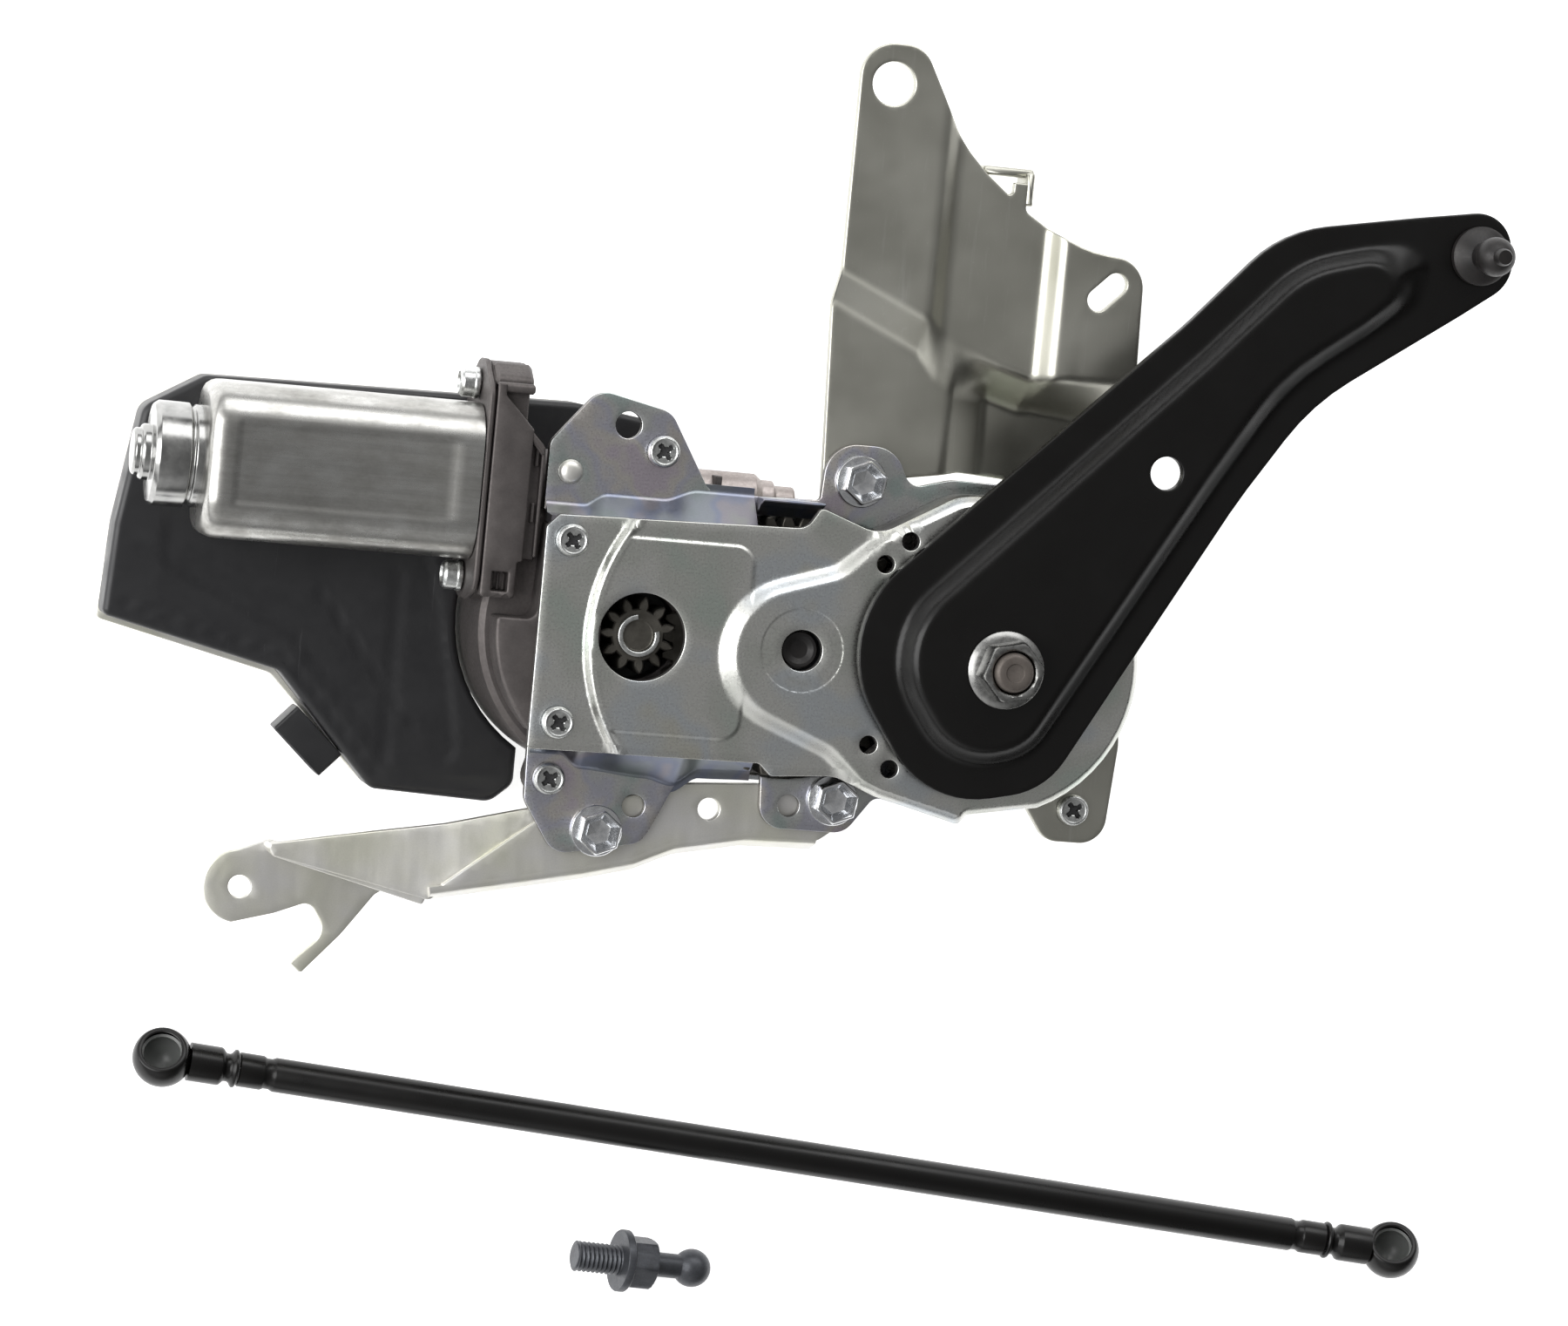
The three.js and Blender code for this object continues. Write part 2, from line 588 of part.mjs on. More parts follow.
function wormWheel() {
  const tip = WHEEL_PITCH_R + 0.75;
  const outline = gearOutline({ teeth: WORM.wheelTeeth, module: WORM.module, tip, root: WHEEL_PITCH_R - 1.2,
    firstDeg: 90 });
  const twist = (WORM.faceHalf * WORM.module) / (2 * WORM.pitchR) / WHEEL_PITCH_R;
  const turnedBy = (angle) => outline.map((p) => p.clone().rotateAround(new THREE.Vector2(), angle));
  const rim = taper([shifted(turnedBy(-twist), CLUTCH.x, CLUTCH.y), WORM.z - WORM.faceHalf],
    [shifted(turnedBy(twist), CLUTCH.x, CLUTCH.y), WORM.z + WORM.faceHalf]);
  return cut(rim, cylinder(CLUTCH.x, CLUTCH.y, 6.4, 20, 50));
}

function clutchArmature() {
  return turned([[6.6, 26.6], [27, 26.6], [27, 29.6], [24, 30.4], [6.6, 30.4]], CLUTCH.x, CLUTCH.y, 22);
}

function clutchCoil() {
  return turned([[12, 4], [28, 4], [28, 20.6], [12, 20.6]], CLUTCH.x, CLUTCH.y, 22);
}

function clutchRotor() {
  return turned([[6.4, 21], [28, 21], [28, 26], [25, 26.2], [6.4, 26.2]], CLUTCH.x, CLUTCH.y, 22);
}

const PINION_TIP = 9.7;

function pinionShaft() {
  const [low] = STAGE_1.z;
  const teeth = gearOutline({ teeth: STAGE_1.pinionTeeth, module: STAGE_1.module, tip: PINION_TIP,
    root: 6.7, firstDeg: 180 / STAGE_1.pinionTeeth, flankSteps: 2 });
  const gear = prism(shifted(teeth, CLUTCH.x, CLUTCH.y), low, 52.2);
  const shaft = turned([[0, 5], [5, 5], [6, 6], [6, 38], [6.6, 38.4], [6.6, 39.5], [4.7, 39.6], [4.7, 55.2],
    [4.2, 55.6], [0, 55.6]], CLUTCH.x, CLUTCH.y, 18);
  const key = prism(rectangle(CLUTCH.x - 1.5, CLUTCH.y - 1.5, CLUTCH.x + 1.5, CLUTCH.y + 1.5, 0.4), 53, 56);
  return cut(join(gear, shaft), key);
}

// An open ring with a wide gap, seated on the pinion's nose.
function snapRing() {
  const z = [52.6, 54];
  const disc = cylinder(CLUTCH.x, CLUTCH.y, 6.1, ...z, 24);
  const band = cut(disc, cylinder(CLUTCH.x, CLUTCH.y, 5, 50, 60, 24));
  const mouth = prism(rectangle(0, -3.2, 9, 3.2), 50, 60).rotate([0, 0, 58])
    .translate([CLUTCH.x, CLUTCH.y, 0]);
  return cut(band, mouth);
}

add("worm_wheel", wormWheel(), greyPlastic);
add("clutch_armature", clutchArmature(), darkSteel);
add("clutch_coil", clutchCoil(), copper);
add("clutch_rotor", clutchRotor(), darkSteel);
add("pinion_shaft", pinionShaft(), sintered);
add("snap_ring", snapRing(), bright);

// ---------------------------------------------------------------- intermediate gear

function intermediateGear() {
  const outline = gearOutline({ teeth: STAGE_1.gearTeeth, module: STAGE_1.module, tip: 33.1, root: 30.3,
    firstDeg: 180 });
  const web = turned([[12, 37], [28, 37], [28, 41], [12, 41]], PIN.x, PIN.y, 20);
  return cut(prism(shifted(outline, PIN.x, PIN.y), ...STAGE_1.z), web,
    cylinder(PIN.x, PIN.y, 9.3, 30, 50));
}

function intermediatePinion() {
  const outline = gearOutline({ teeth: STAGE_2.pinionTeeth, module: STAGE_2.module, tip: 18.7, root: 14.7,
    firstDeg: 0 });
  const teeth = prism(shifted(outline, PIN.x, PIN.y), ...STAGE_2.z);
  const hub = cylinder(PIN.x, PIN.y, 9, 38, STAGE_2.z[0] + 1);
  return cut(join(teeth, hub), cylinder(PIN.x, PIN.y, 5.1, 30, 60));
}

function intermediatePin() {
  return turned([[0, 33.2], [6.4, 33.2], [6.4, 34.7], [4.9, 34.8], [4.9, 56.4], [4.4, 57], [2.2, 56.2],
    [0, 56.2]], PIN.x, PIN.y);
}

add("intermediate_gear", intermediateGear(), sintered);
add("intermediate_pinion", intermediatePinion(), darkSteel);
add("intermediate_pin", intermediatePin(), darkSteel);

// ---------------------------------------------------------------- output gear and shaft

const SHAFT_R = 10;
const SECTOR_HALF_DEG = 102; // teeth kept on each side of the contact point

function sectorGear() {
  const kept = (angle) => {
    return Math.abs(THREE.MathUtils.euclideanModulo(angle / DEG, 360) - 180) < SECTOR_HALF_DEG;
  };
  const outline = gearOutline({ teeth: STAGE_2.gearTeeth, module: STAGE_2.module, tip: 34.6, root: 30.8,
    firstDeg: 180 + 180 / STAGE_2.gearTeeth, kept, hubR: 21 });
  const lightening = [135, 180, 225].map((deg) => {
    return cylinder(20.5 * Math.cos(deg * DEG), 20.5 * Math.sin(deg * DEG), 4.5, 40, 60);
  });
  return cut(prism(outline, ...STAGE_2.z), cylinder(0, 0, SHAFT_R + 0.1, 40, 60), ...lightening);
}

function outputShaft() {
  return turned([[0, 4], [6.5, 4], [7.2, 5], [7.2, 46.4], [SHAFT_R, 46.5], [SHAFT_R, 66.8], [6, 67],
    [6, 70], [5, 70.4], [5, 79.6], [4.5, 80.2], [0, 80.2]]);
}

function frontBush() {
  const bore = SHAFT_R + 0.3;
  return turned([[bore, 55], [13, 55], [13, 60.3], [16, 60.4], [16, 61.6], [bore, 61.6]]);
}

// A cup on the back of the case that holds the shaft's rear end.
function rearBearing() {
  return turned([[0, 0], [14.5, 0], [16, 1.5], [16, 29], [24, 29.2], [24, 31], [9.6, 31], [9.6, 3],
    [0, 3]], 0, 0, 20);
}

function rearBush() {
  return turned([[7.45, 6], [9.3, 6], [9.3, 30], [7.45, 30]]);
}

add("sector_gear", sectorGear(), sintered);
add("output_shaft", outputShaft(), darkSteel);
add("front_bush", frontBush(), bronze);
add("rear_bearing_cup", rearBearing(), zinc);
add("rear_bush", rearBush(), bronze);

// ---------------------------------------------------------------- output arm

const ARM_HOLE = [36.9, 52.5];

const armOutline = [
  [-45, 5.6, 28],
  [-15.5, -36.6, 25],
  [15, -30, 20],
  [58, 47, 110],
  [75, 73, 60],
  [112, 99, 12],
  [125.6, 109, 10],
  [121.5, 126.6, 9],
  [98, 122.6, 60],
  [63, 116, 34],
  [40, 90.2, 60],
];

// Foot and crest of the stiffening hump; it runs out before the flat tip.
const humpFoot = [
  [-34.5, 4, 24],
  [-11.5, -28.4, 20],
  [11, -23, 17],
  [53, 49.4, 110],
  [70, 76.4, 60],
  [101, 100, 8],
  [104, 112, 6],
  [96, 117, 9],
  [90, 115.6, 50],
  [67.5, 109.6, 30],
  [43.5, 83.5, 60],
];

const humpCrest = [
  [-28.4, 3.4, 20],
  [-9, -23, 16],
  [8.6, -19, 14],
  [49.6, 50.6, 110],
  [66.6, 78.6, 60],
  [86, 95, 7],
  [92, 104, 5],
  [87, 109.6, 6],
  [82, 108.4, 40],
  [69, 104.6, 26],
  [46.5, 80.4, 60],
];

function arm() {
  const rim = prism(rounded(armOutline), ARM_BOTTOM, ARM_BOTTOM + ARM_SHEET);
  const hump = taper([rounded(humpFoot, 2), ARM_BOTTOM], [rounded(humpFoot, 2), ARM_BOTTOM + ARM_SHEET],
    [rounded(humpCrest, 2), ARM_TOP]);
  const under = taper([rounded(inset(humpFoot, 0.8), 2), ARM_BOTTOM - 1],
    [rounded(inset(humpFoot, 0.8), 2), ARM_BOTTOM],
    [rounded(inset(humpCrest, 0.8), 2), ARM_TOP - ARM_SHEET]);
  return cut(join(rim, hump), under, cylinder(...ARM_HOLE, 4.2, 60, 75), cylinder(0, 0, 6.3, 60, 75),
    cylinder(ARM_TIP.x, ARM_TIP.y, 4.3, 60, 75));
}

function armNut() {
  const flange = turned([[5.3, ARM_TOP + GAP], [9.8, ARM_TOP + GAP], [9.8, 71.2], [8, 72.6], [5.3, 72.6]]);
  const hex = prism(hexagon(0, 0, 14.2, 12), 72, 79).intersect(
    turned([[5.3, 71], [8.3, 71], [8.3, 78.2], [7.3, 79], [5.3, 79]]));
  return join(flange, hex);
}

function armBallStud() {
  const base = ARM_BOTTOM + ARM_SHEET + GAP;
  const neck = [[4, ARM_BOTTOM - 0.9], [4, base - 0.1], [7.5, base], [7.5, base + 2.4], [6.4, base + 3],
    [3.6, base + 4.4], [3.3, base + 7]];
  const profile = [[0, ARM_BOTTOM - 0.9], ...neck, ...ballProfile(BALL_R, 77.2, -48, 63, 6),
    [2.2, 82], [2.2, 84], [1.7, 84.6], [0, 84.6]];
  return turned(profile, ARM_TIP.x, ARM_TIP.y, 14);
}

add("output_arm", arm(), blackCoat);
add("arm_nut", armNut(), bright);
add("arm_ball_stud", armBallStud(), darkSteel);

// ---------------------------------------------------------------- motor

function canSection(grow) {
  const { halfY, halfZ, corner } = CAN;
  const [z, y, r] = [halfZ + grow, halfY + grow, corner + grow];
  return rounded([[-z, -y, r], [z, -y, r], [z, y, r], [-z, y, r]], 4);
}

function motorCan() {
  const { mouth, end } = CAN;
  const body = loft([ring(canSection(-3.4), end), ring(canSection(-1), end + 1),
    ring(canSection(0), end + 3.6), ring(canSection(0), mouth)]);
  const boss = turnedGeometry([[0, end - 17], [5.4, end - 17], [6.2, end - 16], [6.2, end - 13.6],
    [8.4, end - 13.4], [8.4, end - 10.8], [12.2, end - 10.6], [13.2, end - 9.6], [13.2, end - 2],
    [11.6, end - 1], [11.6, end + 1], [0, end + 1]], 18);
  const bore = turnedGeometry([[0, end - 14], [3.3, end - 14], [3.3, end - 9], [5.5, end - 9],
    [5.5, end + 1.6], [15.7, end + 1.6], [15.7, mouth + 1], [0, mouth + 1]], 18);
  const place = (g) => solid(turnedToX(g, MOTOR_AXIS.y, MOTOR_AXIS.z));
  return cut(join(place(body), place(boss)), place(bore));
}

const BELL_SCREWS = [[58.6, 33], [10.2, 33]];

function motorEndBell() {
  const x = [CAN.mouth + GAP, -117.4];
  const plate = [[8, 16, 4], [58, 16, 5], [65, 29, 5], [65, 38, 6], [58, 50, 4], [8, 50, 5], [4.6, 38, 4],
    [4.6, 28, 4]];
  const neck = [[14, 17, 4], [53, 17, 4], [53, 49, 4], [14, 49, 5]];
  const inPlane = (corners) => rounded(corners).map((p) => new THREE.Vector2(-p.y, p.x));
  const slab = (corners, x0, x1) => solid(turnedToX(prismGeometry(inPlane(corners), x0, x1), 0, 0));
  const block = join(slab(plate, x[0], x[0] + 10.5), slab(neck, x[0] + 9, x[1]));
  const window = solid(new THREE.BoxGeometry(4.6, 4.4, 12).translate(-126, 9.6, 47));
  return cut(block, cylinder(CLUTCH.x, CLUTCH.y, HOUSING_R + 0.6, 10, HOUSING_TOP + 0.5, 32),
    cylinderX(MOTOR_AXIS.y, MOTOR_AXIS.z, 11.5, -140, -124),
    cylinderX(MOTOR_AXIS.y, MOTOR_AXIS.z, 4.2, -130, -110), window,
    ...BELL_SCREWS.map(([y, z]) => cylinderX(y, z, 2.3, -140, -127.9, 10)));
}

function bellScrew([y, z]) {
  const x = CAN.mouth + GAP;
  return turnedAlongX([[0, x - 5.4], [2.6, x - 5.4], [3.7, x - 4.6], [3.7, x - 1.6], [4, x - 1.4],
    [4, x - GAP], [2, x - GAP], [2, x + 4.5], [0, x + 4.5]], y, z, 12);
}

function magnet(side) {
  const shell = turnedGeometry([[13.2, -190], [15.4, -190], [15.4, -150], [13.2, -150]], 28);
  const arc = solid(turnedToX(shell, MOTOR_AXIS.y, MOTOR_AXIS.z));
  const keep = new THREE.BoxGeometry(60, 20, 32)
    .translate(-170, MOTOR_AXIS.y + side * 18, MOTOR_AXIS.z);
  return arc.intersect(solid(keep));
}

function armatureCore() {
  const slots = 10;
  const outline = [];
  for (let i = 0; i < slots; i++) {
    [[12.4, -0.4], [12.4, 0.32], [8, 0.34], [8, 0.58]].forEach(([r, at]) => {
      const angle = ((i + at) * 2 * Math.PI) / slots;
      outline.push(new THREE.Vector2(r * Math.cos(angle), r * Math.sin(angle)));
    });
  }
  const core = solid(turnedToX(prismGeometry(outline, -188, -152), MOTOR_AXIS.y, MOTOR_AXIS.z));
  return cut(core, cylinderX(MOTOR_AXIS.y, MOTOR_AXIS.z, 3.4, -200, -140));
}

function commutator() {
  return turnedAlongX([[3.4, -146], [6.5, -146], [6.5, -136], [7.5, -135.8], [7.5, -134.6], [3.4, -134.6]],
    MOTOR_AXIS.y, MOTOR_AXIS.z);
}

function motorShaft() {
  const length = 4 * WORM_LEAD;
  const wormFrom = CLUTCH.x - length / 2;
  const worm = threadedRod({ rootR: WORM.pitchR - 1, crestR: WORM.pitchR + 1, lead: WORM_LEAD, length,
    around: 10, perLead: 6 });
  const alongZ = worm.rotateZ(90 * DEG).translate(0, 0, wormFrom);
  const placed = solid(turnedToX(alongZ, MOTOR_AXIS.y, MOTOR_AXIS.z));
  const core = turnedAlongX([[0, -212], [3, -212], [3, wormFrom - 2], [3.9, wormFrom - 1],
    [3.9, wormFrom + length + 1], [3, wormFrom + length + 2], [3, -60], [0, -60]],
    MOTOR_AXIS.y, MOTOR_AXIS.z, 14);
  return join(placed, core);
}

add("motor_can", motorCan(), drawnSteel);
add("motor_end_bell", motorEndBell(), casting);
BELL_SCREWS.forEach((place, i) => add(`motor_screw_${["upper", "lower"][i]}`, bellScrew(place), bright));
add("magnet_upper", magnet(1), magnetMaterial);
add("magnet_lower", magnet(-1), magnetMaterial);
add("armature_core", armatureCore(), copper);
add("commutator", commutator(), copper);
add("motor_shaft", motorShaft(), darkSteel);

// ---------------------------------------------------------------- control module

const moduleOutline = [
  [-219.8, -8, 2],
  [-174.2, -18.6, 4],
  [-148.2, -46.8, 4],
  [-117, -48, 5],
  [-111.4, -43, 4],
  [-111.4, 20, 1],
  [-104, 36, 1],
  [-84, 36, 1],
  [-84, 52.6, 2],
  [-104, 55.4, 6],
  [-199, 54, 4],
  [-214, 45, 5],
  [-218.6, 15, 3],
];

function clearOfClutch(body) {
  return cut(body, cylinder(CLUTCH.x, CLUTCH.y, HOUSING_R + 1.2, -1, 30, 32));
}

function moduleCover() {
  const edge = rounded(moduleOutline, 2);
  const brow = rounded(inset(moduleOutline, 1.4), 2);
  const outer = taper([edge, 3.3], [edge, MODULE_TOP - 1.6], [brow, MODULE_TOP]);
  const inner = prism(rounded(inset(moduleOutline, 2.2)), 2, MODULE_TOP - 2);
  const ringWall = cylinder(CLUTCH.x, CLUTCH.y, HOUSING_R + 3.4, 3.3, MODULE_TOP - 1, 32)
    .intersect(prism(rounded(moduleOutline), 3.3, MODULE_TOP));
  return clearOfClutch(join(cut(outer, inner), ringWall));
}

function moduleBase() {
  const lip = moduleOutline.map(([x, y, r]) => (y < -5 && x < -170 ? [x - 0.4, y - 1.8, r] : [x, y, r]));
  return clearOfClutch(prism(rounded(lip), 0, 3));
}

function circuitBoard() {
  return cut(clearOfClutch(prism(rounded(inset(moduleOutline, 4)), 4.6, 6.2)),
    cylinder(CLUTCH.x, CLUTCH.y, HOUSING_R + 5, 0, 20, 32));
}

// The plug socket stands out of the module's slanting edge.
function moduleConnector() {
  const shell = solid(new THREE.BoxGeometry(8, 17, 9.6).translate(4, 0, 8.6));
  const room = solid(new THREE.BoxGeometry(10, 14, 6.8).translate(6.4, 0, 8.6));
  return cut(shell, room).rotate([0, 0, -132.7]).translate([-162, -33.2, 0]);
}

add("module_cover", moduleCover(), blackPlastic);
add("module_base", moduleBase(), paleZinc);
add("circuit_board", circuitBoard(), boardGreen);
add("module_connector", moduleConnector(), blackPlastic);

// ---------------------------------------------------------------- upper bracket

const UPPER_LEVEL = { left: 50.3, middle: 46.3, right: 51.3 };
const LOWER_LEVEL = { left: BRACKET_TOP, right: 33.9 };
const UPPER_EYE = [-38.1, 142.9, 5.5];
const SLOT = { ends: [[24.4, 98.4], [20.1, 94.1]], r: 2.9 };
const FOOT_SCREW = [31.4, -37];

// Bend lines of the bracket: x, and where the slanting step begins and ends there.
const BENDS = [
  { x: -50, from: 97, to: 88.6 },
  { x: -23.4, from: 85.4, to: 76.4 },
  { x: -18.2, from: 82, to: 69.6 },
  { x: -14.1, from: 80, to: 67 },
  { x: -2.7, from: 74.8, to: 66.6 },
  { x: 6.2, from: 72.4, to: 64 },
  { x: 9.6, from: 72.8, to: 64.6 },
  { x: 46, from: 74, to: 60 },
];

function upperHeight(x) {
  if (x <= -23.4) return UPPER_LEVEL.left;
  return x < 9 ? UPPER_LEVEL.middle : UPPER_LEVEL.right;
}

function lowerHeight(x) {
  return x <= -14.1 ? LOWER_LEVEL.left : LOWER_LEVEL.right;
}

const upperBracketOutline = [
  [-46.8, 153, 8.6],
  [-31, 153, 7.6],
  [-17, 127, 60],
  [-3.6, 117.6, 1],
  [-3.4, 121.6, 0.5],
  [0.3, 121.6, 0.8],
  [0.2, 114.6, 2],
  [14, 106.2, 30],
  [31.4, 104.6, 8],
  [33, 60, 60],
  [37, 10, 60],
  [42.4, -19, 14],
  [40.6, -45.6, 7],
  [25, -45.6, 6],
  [14, -30, 10],
  [12, 30, 40],
  [8, 46, 6],
  [-9, 47, 3],
  [-27, 44, 2],
  [-28, 36, 3],
  [-44.6, 36, 3],
  [-46.8, 88, 3],
].reverse();

function upperBracket() {
  const rows = [
    BENDS.map(({ x }) => [x, 160, upperHeight(x)]),
    BENDS.map(({ x, from }) => [x, from, upperHeight(x)]),
    BENDS.map(({ x, to }) => [x, to, lowerHeight(x)]),
    BENDS.map(({ x }) => [x, -60, lowerHeight(x)]),
  ];
  const tabTop = UPPER_LEVEL.middle;
  const tab = join(prism(rectangle(-0.4, 116, 1.8, 125.2), tabTop - 10, tabTop),
    prism(rectangle(-11.5, 123, 1.8, 125.2), tabTop - 10, tabTop - 1.2));
  const slotCut = rounded(slotCorners(SLOT.ends[0], SLOT.ends[1], SLOT.r));
  const sheet = formedSheet(rows, EAR_SHEET).intersect(prism(rounded(upperBracketOutline), 20, 60));
  return cut(join(sheet, tab), cylinder(...UPPER_EYE, 40, 60, 24), prism(slotCut, 40, 60),
    cylinder(...HEX_BOLTS.upper, 3.3, 30, 50, 12), cylinder(...FOOT_SCREW, 2.3, 30, 50, 12),
    cylinder(0, 0, 24.6, 20, 40, 28));
}

function slotCorners([x1, y1], [x2, y2], r) {
  const along = new THREE.Vector2(x1 - x2, y1 - y2).setLength(r);
  const side = new THREE.Vector2(-along.y, along.x);
  return [[x1, y1, 1, 1], [x1, y1, 1, -1], [x2, y2, -1, -1], [x2, y2, -1, 1]].map(([x, y, a, s]) => {
    return [x + a * along.x + s * side.x, y + a * along.y + s * side.y, r * 0.98];
  });
}

add("upper_bracket", upperBracket(), galvanised);

// ---------------------------------------------------------------- lower bracket

const EYE_TOP = 24;
const LOWER_EYE = [-180.4, -73, 2.8];

function lowerBracket() {
  const t = EAR_SHEET;
  const main = prism(rounded([
    [-135, -69.2, 1], [-96.5, -61.2, 20], [-84, -58, 8], [-74, -53.4, 8], [-56, -49.8, 10],
    [-37.4, -49.4, 5], [-27, -41.4, 2], [-28, -37.2, 2], [-54, -36.8, 3], [-74, -38, 12], [-108, -47.6, 6],
  ]), BRACKET_TOP - t, BRACKET_TOP);
  const roll = [[-135, -69.4], [-96.5, -61.4], [-84, -58.2], [-74, -53.6], [-56, -50], [-37.4, -49.6]];
  const fall = [
    roll.map(([x, y]) => [x, y + 0.5, BRACKET_TOP]),
    roll.map(([x, y]) => [x + 0.4, y - 2.4, BRACKET_TOP - 7]),
  ];
  const web = facet(t, [-176, -60.4, 36], [-174.4, -63.4, 36], [-134.4, -71.6, 38.4], [-109, -49, 42.1],
    [-110.4, -45.9, 41.4], [-132, -52, 38.4]);
  const wall = facet(EYE_TOP + 14, [-176, -60.6, 36.2], [-174.2, -63.6, 36.2], [-142.6, -71.9, 37.6],
    [-141.8, -69.6, 37.6]);
  const eye = prism(rounded([
    ...arcCorners(-180.4, -73, 9.3, 97, 262, 3),
    [-171, -79.2, 4],
    [-162.2, -75.6, 3],
    [-157.4, -83, 5],
    [-166, -91.4, 0.6],
    [-163, -94, 0.8],
    [-153.6, -83.4, 14],
    [-146, -72.8, 2],
    [-142, -70, 1],
    [-160, -63.4, 3],
    [-174, -60.6, 3],
  ]), EYE_TOP - t, EYE_TOP);
  const low = prism(rectangle(-190, -100, -130, -55), -20, EYE_TOP - t);
  return cut(join(main, formedSheet(fall, t), web, wall, eye), low, cylinder(...LOWER_EYE, 10, 30, 14),
    cylinder(-66, -43, 2.8, 30, 50, 14),
    ...["lower_left", "lower_right"].map((name) => cylinder(...HEX_BOLTS[name], 3.3, 30, 50, 12)));
}

add("lower_bracket", lowerBracket(), paleZinc);

// ---------------------------------------------------------------- fasteners

function panHead(x, y, seat, depth) {
  const head = turned([[0, seat - depth], [2.1, seat - depth], [2.1, seat - 0.4], [2.4, seat + GAP],
    [4.1, seat + GAP], [4.1, seat + 1.8], [3.4, seat + 2.8], [1.6, seat + 3.3], [0, seat + 3.3]], x, y, 10);
  const slotAt = (turn) => prism(rectangle(-2.3, -0.5, 2.3, 0.5), seat + 1.4, seat + 5)
    .rotate([0, 0, turn]).translate([x, y, 0]);
  return cut(head, slotAt(40), slotAt(130));
}

function hexBolt(x, y) {
  const seat = EAR_TOP + GAP;
  const flange = turned([[0, 34.4], [2.9, 34.4], [2.9, seat - 0.1], [6.6, seat], [6.6, seat + 0.9],
    [5, seat + 1.8], [0, seat + 1.8]], x, y, 12);
  const head = prism(hexagon(x, y, 10, 22), seat + 1, seat + 6.6);
  const dish = taper([hexagon(x, y, 5, 22), seat + 4.4], [hexagon(x, y, 8.4, 22), seat + 6.8]);
  return cut(join(flange, head), dish);
}

function weldNut(x, y) {
  const hex = prism(hexagon(x, y, 10, 10), 34.8, BRACKET_TOP - EAR_SHEET - GAP);
  return cut(hex, cylinder(x, y, 3.2, 30, 50, 10));
}

function rivet(x, y) {
  const top = EAR_TOP + GAP;
  return turned([[0, 38.6], [2.1, 38.6], [2.1, top], [3.1, top], [2.9, top + 0.7], [1.8, top + 1.4],
    [0, top + 1.7]], x, y, 10);
}

add("cover_screw_upper", panHead(...PLATE_SCREWS[0], STRIP_TOP, 14), bright);
add("cover_screw_lower", panHead(...PLATE_SCREWS[1], STRIP_TOP, 14), bright);
add("ear_screw_upper", panHead(...EAR_SCREWS[0], EAR_TOP, 8), bright);
add("ear_screw_lower", panHead(...EAR_SCREWS[1], EAR_TOP, 8), bright);
add("foot_screw", panHead(...FOOT_SCREW, LOWER_LEVEL.right, 7), bright);
for (const [name, place] of Object.entries(HEX_BOLTS)) {
  add(`hex_bolt_${name}`, hexBolt(...place), bright);
  add(`weld_nut_${name}`, weldNut(...place), zinc);
}
add("ear_rivet", rivet(...RIVET), bright);

// ---------------------------------------------------------------- loose pieces of the kit

// A frame whose +Z runs along the piece and whose x axis lies flat on the table.
function placedAlong(geometry, at, direction) {
  const turn = new THREE.Quaternion().setFromUnitVectors(new THREE.Vector3(0, 0, 1), direction);
  return geometry.applyQuaternion(turn).translate(at.x, at.y, at.z);
}

const rodEnds = [ROD.left, ROD.right].map(([x, y]) => new THREE.Vector3(x, y, ROD.socketR));
const rodAlong = rodEnds[1].clone().sub(rodEnds[0]).normalize();
const cupAxis = new THREE.Vector3(-0.15, 0.55, 0.78).normalize();

function rodTube() {
  const length = rodEnds[1].distanceTo(rodEnds[0]);
  const [a, b] = [19.6, length - 19.6];
  const crimp = (from, way) => [[ROD.tubeR, from + way * 1], [ROD.tubeR, from + way * 6],
    [3.9, from + way * 7], [3.9, from + way * 8.6], [ROD.tubeR, from + way * 9.6]];
  const profile = [[0, a], ...crimp(a, 1), ...crimp(b, -1).reverse(), [0, b]];
  return solid(placedAlong(turnedGeometry(profile, 12), rodEnds[0], rodAlong));
}

function rodSocket(index) {
  const centre = rodEnds[index];
  const outwards = rodAlong.clone().multiplyScalar(index ? -1 : 1);
  const ball = new THREE.SphereGeometry(ROD.socketR, 12, 8);
  const neck = turnedGeometry([[0, 3], [4.9, 3], [4.9, 15], [3.6, 16], [3.6, 17.4], [4.9, 18.4],
    [4.9, 19.2], [0, 19.2]], 12);
  const body = join(solid(placedAlong(ball, centre, cupAxis)), solid(placedAlong(neck, centre, outwards)));
  const room = new THREE.SphereGeometry(6.5, 12, 8);
  const face = turnedGeometry([[0, 4.2], [12, 4.2], [12, 12], [0, 12]], 12);
  return cut(body, solid(placedAlong(room, centre, cupAxis)), solid(placedAlong(face, centre, cupAxis)));
}

function socketLiner(index) {
  const shell = [...ballProfile(5.9, 0, -90, 25, 5), ...ballProfile(BALL_R + 0.2, 0, 25, -90, 5)];
  return solid(placedAlong(turnedGeometry(shell, 12), rodEnds[index], cupAxis));
}

